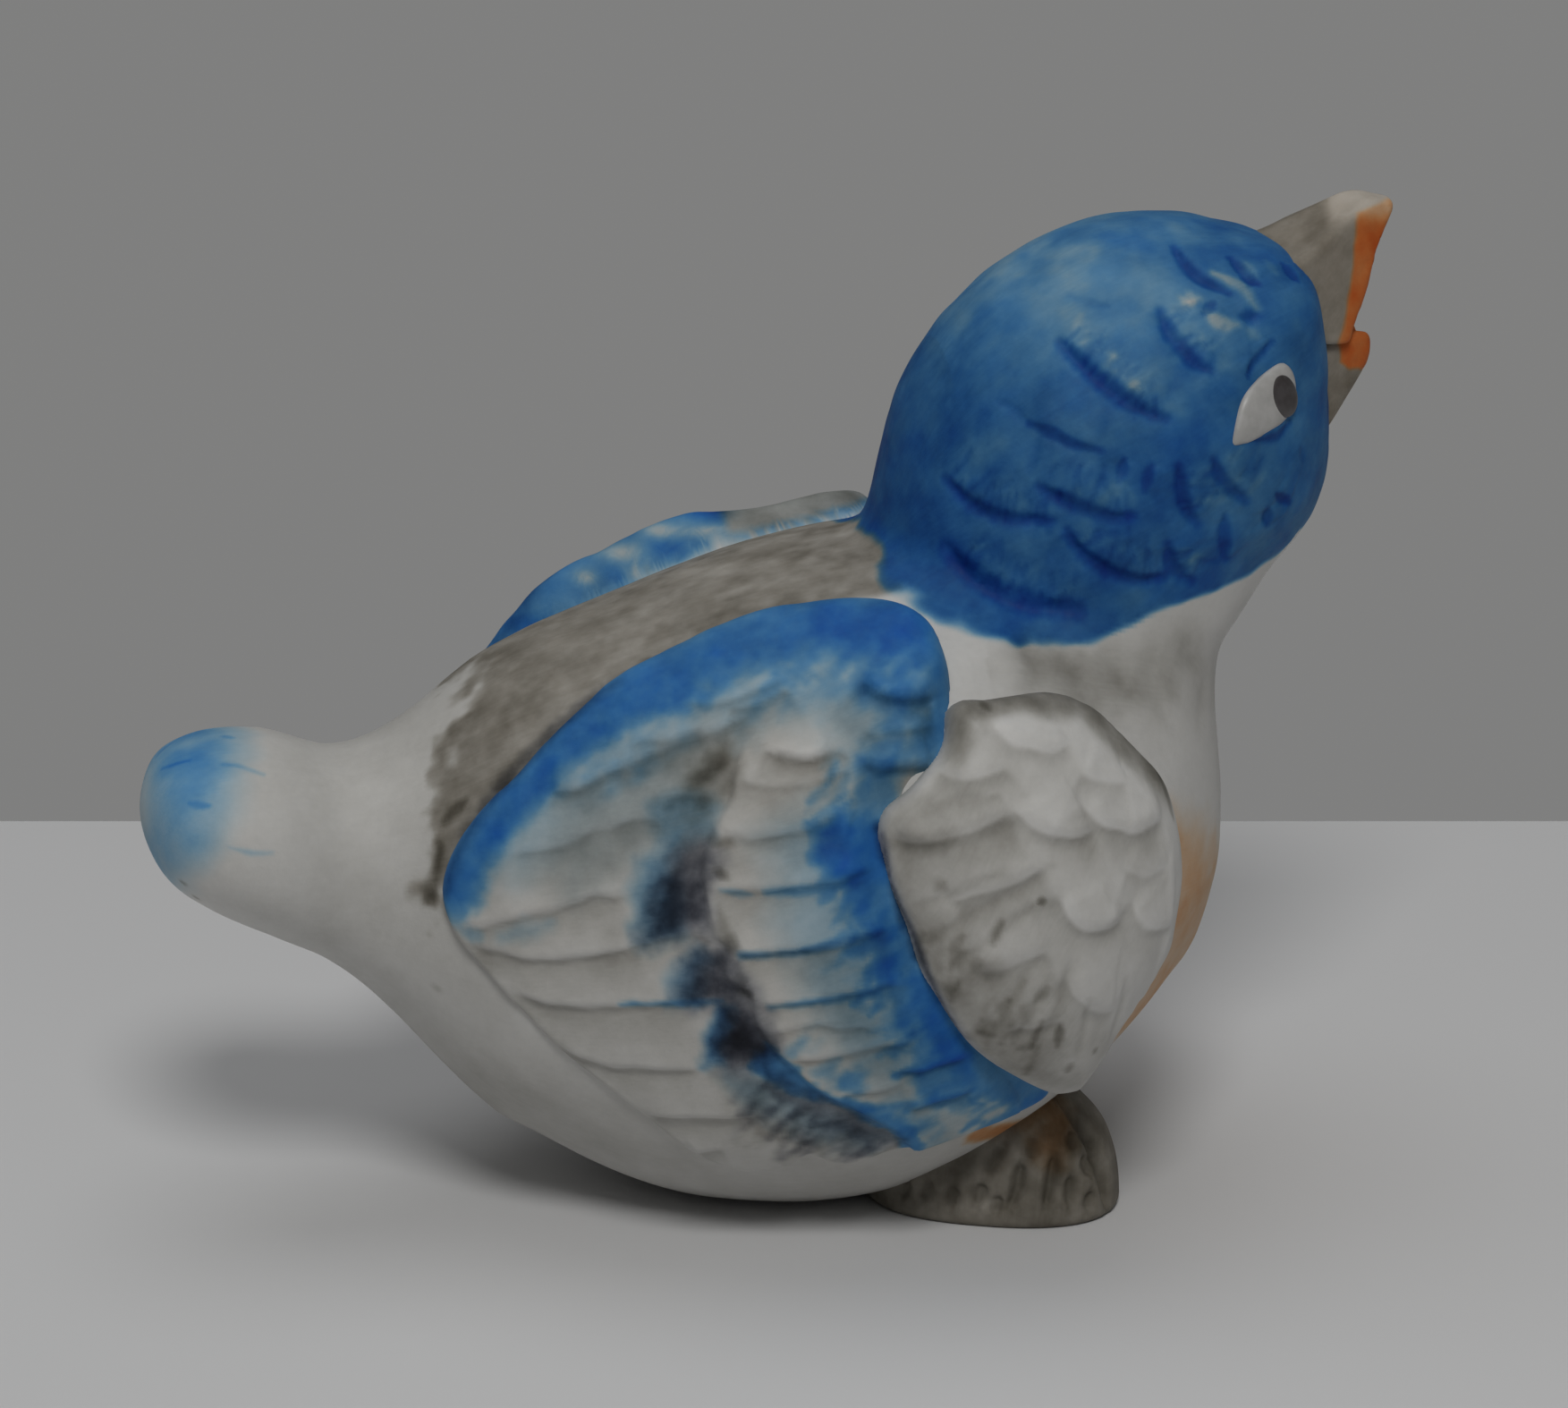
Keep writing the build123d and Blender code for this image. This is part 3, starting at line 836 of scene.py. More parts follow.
# wing: covert and flight feathers, each standing over the next one down
for pts, depth, half, rise, run in [
        (WL((830, 345), (1000, 345), (1170, 320), (1290, 280)), .06, .35, .40, 1.7),
        (WL((880, 510), (1050, 505), (1180, 490), (1330, 445)), .06, .35, .42, 1.7),
        (WL((950, 640), (1100, 640), (1250, 610), (1380, 590)), .06, .35, .36, 1.5),
        (WL((980, 720), (1130, 700), (1300, 720)), .05, .30, .22, 1.2),
        (WL((1040, 790), (1200, 780), (1400, 740)), .06, .35, .32, 1.4),
        (WL((1330, 830), (1420, 815), (1530, 780)), .06, .35, .28, 1.3),
        (WL((1360, 920), (1450, 900), (1540, 870)), .06, .35, .26, 1.3),
        (WL((1180, 880), (1300, 870), (1360, 850)), .05, .30, .20, 1.2),
        (WT((900, 880), (1010, 905), (1120, 890), (1230, 850)), .05, .40, .26, 1.8),
        (WL((850, 190), (960, 205), (1080, 190), (1200, 140)), .06, .35, .34, 1.7),
        (WT((1010, 800), (1090, 830), (1180, 815), (1230, 830)), .05, .40, .24, 1.6),
        (WT((1235, 615), (1290, 660), (1350, 672), (1440, 662)), .06, .60, .60, 2.8),
        (WT((1240, 745), (1320, 760), (1440, 735)), .06, .40, .28, 1.6),
        (WT((1240, 830), (1300, 852), (1400, 850), (1440, 840)), .06, .60, .60, 2.8),
        (WT((410, 910), (500, 905), (560, 870), (700, 850)), .04, .60, .22, 2.2),
        (WT((620, 790), (720, 780), (830, 740)), .04, .60, .22, 2.2),
        (WT((700, 960), (760, 930), (860, 930)), .04, .60, .22, 1.8),
        (WT((560, 1010), (640, 990), (720, 1000)), .04, .60, .20, 1.8),
        (WT((880, 700), (960, 690), (1060, 640)), .04, .60, .20, 1.8),
        (WL((300, 250), (430, 235), (560, 180), (660, 150)), .04, .60, .24, 2.4),
        (WL((170, 450), (300, 430), (400, 410), (520, 370), (640, 350)), .05, .35, .36, 2.2),
        (WL((180, 480), (340, 530), (500, 525), (620, 500), (690, 485)), .05, .35, .38, 2.2),
        (WL((280, 610), (450, 650), (620, 652), (800, 650)), .05, .35, .36, 2.2),
        (WL((330, 680), (480, 780), (600, 815), (830, 830)), .05, .35, .32, 2.0),
        (WL((380, 740), (520, 860), (680, 940), (850, 950), (990, 945)), .05, .35, .30, 2.0),
        ([(678, 867), (716, 851), (759, 829), (806, 815), (844, 796)], .04, .80, .40, 2.6),
        ([(612, 881), (640, 883), (669, 874), (700, 856)], .04, .70, .24, 2.0),
        ([(763, 789), (806, 787), (844, 775), (880, 758)], .04, .70, .24, 1.9),
        ([(853, 837), (891, 851), (933, 844)], .05, .60, .34, 2.0),
        (BP((425, 240), (480, 220), (540, 207), (590, 230)), .05, .35, .30, 1.5),
        (WL((480, 900), (620, 1000), (760, 1040), (880, 1035)), .04, .35, .24, 1.6)]:
    groove("right_wing", pts, depth, half, rise * 1.2, run * .8)
    # painted shade under each feather's edge, stronger where the step is higher
    SHADES.append(("right_wing", pts, .12 + .62 * rise, .85 * run + .35))
COVERT_EDGE = (WT((1010, 700), (930, 800), (905, 880)) + WL((900, 100), (830, 240), (830, 345), (860, 470), (905, 500), (880, 560), (945, 620),
               (960, 680), (1010, 760), (1080, 830), (1180, 900), (1300, 960), (1390, 1035)))

# dome: scale feathers
DC = crop(975, 760, 3.266)
for pts, rise in [
        (DC((230, 325), (330, 365), (430, 350), (500, 300)), .40), (DC((430, 140), (480, 210), (560, 255), (660, 262), (740, 230)), .45),
        (DC((515, 455), (580, 540), (670, 575), (770, 572), (830, 540)), .62), (DC((765, 430), (830, 520), (910, 555), (990, 550), (1070, 505)), .60),
        (DC((70, 575), (170, 598), (290, 578), (410, 535), (520, 480)), .60), (DC((690, 770), (720, 870), (795, 915), (880, 912), (940, 860)), .56),
        (DC((950, 800), (980, 880), (1040, 915), (1095, 895)), .46), (DC((270, 815), (420, 785), (540, 740), (650, 690)), .46),
        (DC((370, 1075), (520, 1045), (650, 980)), .42), (DC((700, 1080), (760, 1180), (840, 1220), (900, 1190)), .34), (DC((760, 330), (830, 370), (930, 370)), .30),
        (DC((300, 440), (400, 430), (480, 400)), .22), (DC((480, 1290), (600, 1270), (720, 1240)), .30), (DC((930, 690), (1010, 720), (1090, 690)), .26)]:
    groove("right_shoulder", pts, .08, .90, rise * .92, 2.6)
    # painted shade under each scale's edge, stronger where the step is higher
    SHADES.append(("right_shoulder", pts, .08 + .46 * rise, 2.6))
# long grooves fanning over the dome's lower part, with taupe along each: painted shade in the grooves
for pts in [DB((300, 870), (360, 800), (420, 720)), DB((380, 900), (430, 820), (470, 740)), DB((450, 900), (500, 800), (520, 700)), DB((240, 700), (330, 640), (430, 560)),
            DB((180, 640), (280, 580), (400, 520), (480, 460)), DB((150, 560), (250, 520), (350, 480)), DB((540, 930), (560, 860), (570, 790)), DB((160, 340), (230, 300), (300, 290)),
            DB((620, 880), (650, 800), (660, 740))]:
    groove("right_shoulder", pts, .16, .55)
    PAINT.append(("right_shoulder", "taupe", pts, .3, .6, .16))

# foot: toes and rays, with taupe along each groove: painted shade in the grooves
for pts, depth in [(FT((690, 510), (670, 620), (640, 690)), .5), (FT((820, 480), (800, 620), (780, 690)), .5), (FT((540, 590), (510, 680)), .4),
                   (FT((430, 600), (410, 680)), .35), (FT((250, 570), (225, 650)), .3), (FT((930, 480), (960, 560)), .45), (FT((620, 440), (560, 560)), .3),
                   (FT((740, 400), (720, 500)), .3), (FT((880, 380), (890, 460)), .3), (FT((340, 580), (310, 660)), .3), (FT((960, 420), (1000, 500)), .3),
                   (FT((880, 560), (880, 680)), .35), (FT((600, 640), (590, 710)), .3), (FT((960, 620), (950, 700)), .3)]:
    groove("right_foot", pts, depth * 1.9, .62)
    PAINT.append(("right_foot", "taupe", pts, .30, .8, .36))

# ------------------------------------------------------------------ paint lines
P_ = PAINT.append
W_ = "right_wing"
# blue border of the wing
BAND = [(503, 1005), (512, 965), (545, 915), (588, 868), (628, 826), (666, 792), (702, 768), (742, 747), (780, 730), (816, 713),
        (865, 697), (905, 690), (950, 686), (1000, 688), (1035, 706)]
area(W_, "blue", [(480, 1010), (485, 950), (515, 890), (565, 838), (605, 796), (645, 760), (680, 735), (725, 712), (765, 695), (805, 678), (860, 660), (905, 652), (950, 648), (1005, 650), (1060, 675),
                  (1000, 726), (950, 728), (905, 730), (870, 735), (830, 744), (790, 760), (750, 778), (710, 800), (672, 826), (640, 856), (600, 894), (565, 930), (540, 970), (525, 1008), (505, 1022)], 24, 1.05)
P_((W_, "blue", BAND, 1.2, 1.8, .60))
P_((W_, "navy", [(498, 1000), (510, 955), (540, 907), (585, 858), (622, 818), (660, 784), (690, 764)], .35, .9, .35))
P_((W_, "blue", [(516, 1000), (535, 965), (570, 915), (612, 870), (650, 835), (690, 805)], .6, 1.4, .25))
area(W_, "taupe", [(600, 960), (650, 890), (740, 850), (790, 860), (770, 930), (700, 960), (640, 1000)], 40, .20)
area(W_, "blue", [(600, 960), (650, 890), (740, 850), (790, 860), (770, 930), (700, 960), (640, 1000)], 40, .10)
area(W_, "blue", [(880, 930), (960, 900), (990, 1010), (1040, 1130), (1000, 1200), (930, 1150), (900, 1050)], 24, .14)
area(W_, "taupe", [(900, 1090), (990, 1090), (1040, 1150), (1010, 1220), (940, 1180)], 24, .16)
P_((W_, "blue", [(690, 802), (735, 777), (780, 759), (830, 740), (880, 724), (940, 714), (1000, 716)], 1.1, 1.6, .35))
P_((W_, "blue", [(560, 960), (620, 900), (690, 845), (760, 805), (820, 785), (890, 765), (950, 760)], 1.0, 3.0, .12))
brush(W_, "blue", loose(BAND[:8], 60, (8, 26), (16, 40), 122, 12), (.3, .6), (.04, .16), .9)
brush(W_, "blue", loose(BAND[6:], 80, (10, 50), (20, 50), 128, 14), (.3, .6), (.04, .16), .9)
brush(W_, "blue", loose(BAND[4:], 40, (40, 90), (24, 60), 140, 14), (.25, .5), (.04, .12), .8)
# mottled patch at the wing's front, and the strip beside the dome
LOBE = [(960, 712), (1000, 705), (1035, 730), (1050, 780), (1040, 830), (1000, 850)]
area(W_, "blue", [(925, 684), (1000, 668), (1047, 690), (1072, 736), (1076, 790), (1064, 838), (1030, 858), (1000, 856), (972, 840), (985, 800), (958, 772), (962, 738), (920, 718)], 18, .80)
# blue and navy along the two folds of the front lobe: blue paint, and painted shade in the folds
for pts in (WT((1235, 615), (1290, 660), (1350, 672), (1440, 662)), WT((1240, 830), (1300, 852), (1400, 850), (1440, 840))):
    P_((W_, "blue", pts, .20, 1.2, .30))
    P_((W_, "navy", pts, .10, 1.0, .12))
P_((W_, "blue", [(1020, 700), (1050, 745), (1056, 790), (1036, 838)], .7, .9, .30))
P_((W_, "blue", [(940, 770), (962, 815), (960, 850)], 1.2, 2.2, .22))
area(W_, "blue", [(962, 845), (1000, 850), (1003, 880), (996, 915), (995, 950), (1000, 985), (985, 990), (930, 985), (905, 955), (930, 925), (958, 895)], 11, .85)
area(W_, "blue", BP((770, -20), (940, -20), (955, 100), (985, 180), (1000, 230), (1015, 290), (1060, 370), (1110, 440), (1120, 560), (1030, 560), (985, 505), (990, 430), (950, 395), (945, 330),
                    (925, 270), (905, 205), (865, 150), (845, 100), (800, 60)), 9, 1.0)
area(W_, "blue", [(1020, 1090), (1060, 1105), (1105, 1165), (1145, 1200), (1185, 1220), (1180, 1240), (1130, 1243), (1090, 1218), (1050, 1175), (1025, 1130)], 9, .95)
area(W_, "blue", [(850, 935), (905, 890), (960, 880), (985, 985), (1000, 1060), (1060, 1160), (1120, 1250), (1040, 1290), (960, 1205), (900, 1120), (865, 1040)], 30, .15)
area(W_, "taupe", [(900, 1060), (985, 1040), (1060, 1160), (1120, 1250), (1040, 1290), (940, 1200)], 30, .14)
STRIP = [(985, 850), (975, 890), (972, 940), (982, 990), (1000, 1035), (1025, 1085), (1060, 1140), (1100, 1190), (1150, 1228)]
brush(W_, "blue", loose(LOBE, 40, (-20, 40), (14, 36), 120, 22), (.2, .4), (-.25, .40))
brush(W_, "blue", loose(STRIP[:6], 60, (-8, 50), (14, 38), 138, 14), (.18, .34), (.10, .50), .4)
brush(W_, "blue", loose(STRIP[4:], 60, (-4, 60), (14, 40), 150, 14), (.18, .34), (.10, .50), .4)
for pts in [WL((1130, 240), (1110, 270)), WL((1210, 190), (1195, 235)), WL((1170, 300), (1135, 322)), WL((1240, 290), (1215, 325)), WL((1270, 350), (1230, 400)),
            WL((1290, 460), (1240, 500)), WL((1330, 520), (1290, 580)), WL((1390, 640), (1340, 680)), WL((1380, 720), (1330, 780)), WL((1450, 790), (1400, 830)),
            WL((1200, 120), (1180, 160))]:
    P_((W_, "blue", pts, .35, .5, .6))
for pts in [BP((690, 124), (780, 118), (870, 106)), BP((640, 250), (740, 247), (830, 227), (920, 203), (985, 192)), BP((700, 356), (850, 337), (950, 312), (1015, 298)),
            BP((950, 492), (1020, 478), (1110, 452)), BP((880, 560), (1000, 548), (1110, 528)), WL((1330, 830), (1420, 815), (1530, 780)), WL((1360, 920), (1450, 900), (1540, 870))]:
    P_((W_, "blue", pts, .22, .45, .62))
P_((W_, "navy", BP((650, 250), (740, 247), (830, 227), (930, 202)), .14, .4, .22))
# blue along the low edge of the coverts
FRINGE = WL((1010, 768), (1080, 838), (1180, 905), (1300, 955), (1385, 1033))
area(W_, "blue", BP((650, 480), (690, 430), (718, 445), (765, 490), (835, 530), (930, 568), (990, 600), (1010, 640), (975, 648), (940, 607), (850, 570), (760, 538), (700, 508)), 6, 1.15)
brush(W_, "blue", loose(FRINGE, 36, (-30, 0), (14, 36), -35, 14), (.2, .36), (.08, .30))
P_((W_, "blue", WL((1385, 1033), (1430, 1036), (1500, 1000), (1570, 970), (1730, 900)), .75, .8, .95))
P_((W_, "blue", BP((395, 352), (500, 352), (600, 345)), .18, .4, .55))
P_((W_, "blue", BP((600, 118), (660, 128)), .16, .3, .4))
area(W_, "blue", [(560, 930), (640, 850), (760, 785), (900, 740), (955, 765), (940, 830), (850, 800), (740, 850), (640, 920), (585, 980)], 34, .10)
# dark patches between the coverts and the flight feathers
area(W_, "navy", BP((490, 30), (580, 15), (603, 60), (562, 120), (578, 160), (570, 200), (540, 208), (500, 198), (470, 220), (440, 225), (452, 170), (475, 110), (490, 80)), 20, .74)
area(W_, "navy", BP((480, 110), (560, 105), (572, 185), (505, 192), (472, 214)), 18, .62)
area(W_, "blue", BP((425, 60), (500, 10), (510, 220), (440, 238), (418, 190)), 18, .48)
area(W_, "taupe", BP((425, 60), (500, 10), (510, 220), (440, 238), (418, 190)), 18, .22)
area(W_, "navy", BP((518, 330), (548, 255), (602, 240), (632, 300), (655, 328), (620, 343), (540, 348)), 25, 1.45)
area(W_, "blue", BP((488, 305), (545, 240), (575, 250), (545, 352), (500, 354)), 14, .45)
area(W_, "taupe", BP((600, 150), (615, 190), (632, 235), (610, 240), (590, 200)), 6, .60)
area(W_, "taupe", BP((630, 290), (655, 325), (660, 340), (640, 335)), 5, .60)
area(W_, "navy", BP((582, 440), (617, 374), (667, 370), (702, 430), (706, 452), (660, 470), (600, 470)), 25, 1.62)
area(W_, "blue", BP((555, 430), (600, 362), (628, 370), (598, 475), (565, 478)), 11, .75)
area(W_, "navy", BP((690, 482), (760, 515), (830, 552), (930, 598), (970, 625), (960, 640), (900, 640), (820, 615), (750, 562), (700, 540)), 10, .62)
area(W_, "blue", BP((600, 490), (700, 500), (800, 570), (940, 625), (900, 655), (760, 620), (650, 560)), 18, .25)
area(W_, "taupe", BP((580, 490), (700, 500), (800, 580), (945, 630), (900, 662), (760, 640), (640, 600)), 18, .32)
brush(W_, "navy", loose(BP((500, 40), (510, 120), (500, 200)), 30, (-26, 20), (12, 34), 118, 16), (.2, .4), (-.16, .22), .6)
DARK = BP((690, 510), (780, 560), (880, 605), (960, 630))
brush(W_, "navy", loose(DARK, 44, (2, 34), (16, 46), 140, 10), (.2, .36), (.06, .30), .5)
brush(W_, "taupe", loose(DARK, 30, (2, 46), (20, 50), 140, 10), (.2, .36), (.08, .30), .5)
area(W_, "taupe", [(766, 875), (788, 835), (813, 822), (828, 850), (822, 885), (800, 900), (775, 897)], 14, .85)
area(W_, "blue", [(728, 905), (770, 882), (802, 897), (800, 935), (770, 948), (733, 940)], 15, .34)
area(W_, "taupe", [(728, 905), (770, 882), (802, 897), (800, 935), (770, 948), (733, 940)], 15, .34)
brush(W_, "taupe", loose([(800, 830), (800, 870), (780, 900)], 22, (-24, 24), (12, 30), 125, 18), (.2, .45), (-.15, .30))
for x, y in ((850, 210), (870, 300), (860, 290), (890, 470), (930, 610), (885, 215)):
    P_((W_, "taupe", WL((x, y), (x + 16, y + 9)), .28, .45, .55))
P_((W_, "blue", BP((75, 208), (95, 210)), .5, .7, .30))
P_((W_, "blue", BP((150, 215), (200, 205), (245, 188)), .5, 1.0, .22))
# crease beside the dome: navy along it, dark paint and painted shade in the crease
P_((W_, "navy", WL((1290, 180), (1330, 300), (1360, 420), (1400, 520)), .40, .6, .75))
# dome
D_ = "right_shoulder"
RIM = DC((320, 85), (420, 75), (530, 65), (640, 58), (740, 75), (830, 125), (910, 190), (970, 250), (1030, 335))
P_((D_, "taupe", DC((400, 85), (425, 110)), .3, .4, .8))
P_((D_, "taupe", DC((1045, 345), (1075, 420), (1100, 510)), .28, .4, .6))
# grey along the dome's lower rear edge, where it meets the wing: painted shade in the join
LOWDOME = DM((150, 780), (190, 900), (250, 1060), (330, 1210), (430, 1340), (540, 1430), (640, 1450))
P_((D_, "taupe", LOWDOME, 1.0, 2.2, .22))
area(D_, "taupe", DB((60, 260), (200, 240), (330, 300), (400, 420), (480, 520), (500, 700), (580, 850), (650, 900), (560, 1010), (460, 1020), (330, 940), (210, 800), (130, 650), (80, 560), (60, 430)), 30, .20)
area(D_, "taupe", DB((100, 560), (240, 580), (330, 690), (420, 760), (500, 860), (470, 1000), (330, 930), (210, 800), (130, 690)), 20, .26)
area(D_, "taupe", DB((80, 290), (180, 270), (230, 330), (220, 400), (110, 410), (70, 370)), 16, .22)
P_((D_, "taupe", DC((90, 590), (200, 600), (300, 580)), .3, 1.2, .35))
P_((D_, "taupe", DC((240, 745), (260, 765)), .35, .6, .6))
P_((D_, "taupe", DC((330, 1110), (430, 1080)), .7, 1.4, .35))
# navy along the dome's rear edge, in the crease against the wing: dark paint and painted shade
P_((D_, "navy", DM((118, 745), (145, 890), (195, 1000), (245, 1130), (305, 1250), (402, 1375), (520, 1452)), .30, .6, .60))
brush(D_, "taupe", loose(DC((180, 930), (300, 1080), (430, 1230), (620, 1330)), 34, (-40, 10), (14, 34), 120, 12), (.2, .36), (.15, .45), .4)
for pts, w in [(DC((475, 890), (440, 960)), .8), (DC((330, 940), (290, 985)), .5), (DC((560, 1110), (500, 1200)), .5), (DC((620, 1250), (585, 1350)), .7),
               (DC((690, 1270), (680, 1340)), .9), (DC((620, 810), (624, 816)), .9), (DC((725, 1405), (715, 1430)), .7), (DC((812, 1355), (816, 1360)), .6), (DC((640, 1130), (600, 1180)), .35),
               (DC((390, 1290), (440, 1305)), .5)]:
    P_((D_, "taupe", pts, .28, .35, w))
P_((D_, "orange", DB((740, 215), (752, 250)), .4, .5, .7))
P_((D_, "navy", DB((740, 215), (752, 250)), .25, .4, .35))
# body
B_ = "body_shell"
# taupe on the throat just under the head: painted shade under the head's overhang
P_((B_, "taupe", DM((530, 205), (650, 245)), 1.0, 1.4, .25))
# soft folds on the throat, with taupe along each: painted shade in the folds
for fold, depth in [([(1104, 735), (1100, 772)], .14), ([(1150, 722), (1158, 760), (1150, 800)], .18), ([(1190, 738), (1212, 770)], .14), ([(1238, 722), (1250, 756), (1262, 770)], .20),
                    ([(1290, 720), (1286, 765), (1300, 800)], .16), ([(1322, 716), (1336, 752)], .12), ([(1346, 760), (1340, 815)], .14)]:
    groove(B_, fold, depth, 1.2)
    P_((B_, "taupe", fold, .4, 1.6, .14))
P_((B_, "orange", FT((530, 400), (640, 385), (760, 320)), 1.0, .9, .75))
for pts, s, w in [(TL((1230, 520), (1310, 440)), .9, .4), (TL((1215, 610), (1180, 720), (1180, 850), (1210, 890)), 1.0, .55), (TL((1100, 510), (1100, 580)), .4, .5),
                  (TL((1075, 740), (1065, 785)), .5, .4), (TL((1050, 430), (1040, 450)), .8, .25)]:
    P_((B_, "taupe", pts, w, .5, s))
P_((B_, "navy", [(520, 935), (560, 880), (600, 838), (640, 800), (690, 762), (730, 740)], .45, .7, .45))
# tail
T_ = "tail"
for pts, s in [(TL((200, 325), (240, 310), (300, 295)), .7), (TL((425, 310), (470, 312), (570, 345)), .35), (TL((300, 450), (370, 462)), .5), (TL((420, 205), (455, 212)), .5)]:
    P_((T_, "blue", pts, .17, .28, .72 * s))
P_((T_, "blue", TL((445, 612), (530, 632), (600, 630)), .13, .28, .24))
P_((T_, "taupe", TL((318, 790), (330, 800)), .3, .3, .8))
P_((T_, "taupe", TL((270, 738), (285, 746)), .3, .3, .6))
# grey on the throat under the blue head: grey smears, and painted shade under the head's overhang
for p in BOTH:
    area(p, "taupe", [(1130, 728), (1200, 742), (1285, 722), (1335, 700), (1335, 745), (1290, 775), (1230, 785), (1170, 765)], 24, .26)
# worn pale ridges on the crown
for pts, w, s in [(BK((30, 550), (120, 580), (190, 620), (260, 740)), .40, -.7), (BK((0, 750), (60, 820), (160, 820)), .45, -.7), (BK((200, 500), (250, 560)), .35, -.5),
                  (BK((310, 490), (360, 540)), .3, -.4), (HD((950, 345), (985, 340)), .45, -.5), (HD((760, 480), (778, 490)), .30, -.4), (HD((820, 560), (836, 568)), .30, -.35),
                  (HD((1115, 425), (1130, 440)), .4, -.4)]:
    P_(("head_shell", "blue", pts, w, .5, s))
# feet
F_ = "right_foot"
P_((F_, "orange", FT((720, 300), (780, 300), (830, 350), (800, 440)), 1.2, 1.6, .45))
brush(F_, "taupe", loose(FT((200, 600), (450, 560), (700, 520), (900, 470), (1000, 520)), 46, (-40, 30), (18, 50), 108, 14), (.25, .5), (-.24, .18), .7)
# brush marks of the head, running back from the beak
for _ in range(190):
    x, y = BRUSH.uniform(985, 1465), BRUSH.uniform(245, 690)
    away = math.degrees(math.atan2(y - 330, x - 1520)) + BRUSH.normal() * 12
    c, sn, L = math.cos(math.radians(away)), math.sin(math.radians(away)), BRUSH.uniform(18, 60)
    P_(("head_shell", "blue", [(x, y), (x + c * L * .5, y + sn * L * .5 + 2), (x + c * L, y + sn * L)], BRUSH.uniform(.35, .9), .7, BRUSH.uniform(-.16, .16)))
# stripe down the back
for _ in range(70):
    t = BRUSH.random()
    x, y = 500 + 440 * t, 960 - 345 * t ** .8 + BRUSH.uniform(-45, 45)
    L, th = BRUSH.uniform(20, 70), math.radians(-42 + BRUSH.normal() * 10)
    P_((B_, "taupe", [(x, y), (x + L * math.cos(th), y + L * math.sin(th))], BRUSH.uniform(.35, .8), .7, BRUSH.uniform(-.16, .24)))

HEAD_EDGE = HD((120, 900), (190, 960), (175, 1040), (250, 1085), (330, 1150), (420, 1165), (540, 1205), (570, 1190), (670, 1210), (760, 1190), (850, 1150),
               (950, 1105), (1050, 1065), (1130, 1020), (1200, 970), (1240, 920))
STRIPE = np.array([(497, 1000), (512, 956), (546, 912), (608, 850), (688, 777), (766, 734), (830, 702), (900, 690), (960, 668), (1010, 660), (1000, 560), (820, 520), (640, 640),
                   (540, 735), (527, 768), (512, 800), (495, 860), (480, 920), (470, 985), (488, 1034)], float)

# ------------------------------------------------------------------ cast every line once
LINES = {}
# cuts on the chin, out of the picture's sight
for k, (a, y) in enumerate([(-9, 0.0)]):
    t = np.linspace(-1, 1, 13)
    turn_ = np.radians(a + 9 * t * t)
    LINES[("head_shell", (("hidden", k),))] = project(HEAD_C + np.stack([17 * np.cos(turn_), y + 2.4 * t, 17 * np.sin(turn_)], 1), skin, 8)
    groove("head_shell", (("hidden", k),), .30, .52, .10, 1.6, deep=.85)


# clefts between the toes, at the front of the foot, with taupe along each: painted shade in the clefts
for k, v in enumerate((-2.4, 2.2)):
    t = np.linspace(0, 1, 12)[:, None]
    ahead_, across_ = np.array([math.cos(FOOT_A), math.sin(FOOT_A), 0]), np.array([-math.sin(FOOT_A), math.cos(FOOT_A), 0])
    LINES[("right_foot", (("toe", k),))] = project(FOOT_C + ahead_ * (5.0 + 5.5 * t) + across_ * v * (.8 + .4 * t) + np.array([0, 0, 1.0]) * (9.0 - 8.6 * t), foot, 10)
    groove("right_foot", (("toe", k),), .75, .70)
    PAINT.append(("right_foot", "taupe", (("toe", k),), .35, .8, .45))


def lines(piece, pts):
    key = (piece, tuple(pts))
    if key not in LINES:
        LINES[key] = line_on(piece, pts)
    return LINES[key]


def copies(piece, pts, left):
    """The 3-D lines that a drawn line makes on a piece: itself and, on a piece that has both sides, its mirror image."""
    base = lines(piece, pts)
    if len(base) < 2:
        return []
    if piece in ("head_shell", "body_shell", "tail", "upper_beak", "lower_beak"):
        return [base, mirrored(base, 3.0)]
    return [mirrored(mirrored(base, 5.0), 5.0)] if left else [base]


def relief(piece, P, N, left=False):
    """Height of the cut and stepped detail."""
    h = np.zeros(len(P))
    for name, pts, depth, half, rise, run in GROOVES:
        if name != piece and not (name in BOTH and piece in BOTH):
            continue
        for line in copies(name, pts, left):
            idx, d, t, side = near(P, N, line, max(half * 2.6, run * 3.0 + 1.5 if rise else 0))
            ends = smooth(0, .16, t) * smooth(0, .16, 1 - t)
            taper = half * (.55 + .45 * smooth(0, .4, t) * smooth(0, .4, 1 - t))
            h[idx] -= depth * (.35 + .65 * ends) * np.exp(-(d / taper) ** 2)
            if rise:
                crisp = 1.1 if piece == "right_shoulder" else .62
                low = -.7 * np.exp(-(d / (1.25 * run)) ** 2)
                h[idx] += rise * ends * (low + (np.exp(-d / run) - low) * smooth(-crisp, crisp, d * side + .22 * noise(P[idx], 1.6, 21.0)))
    return h


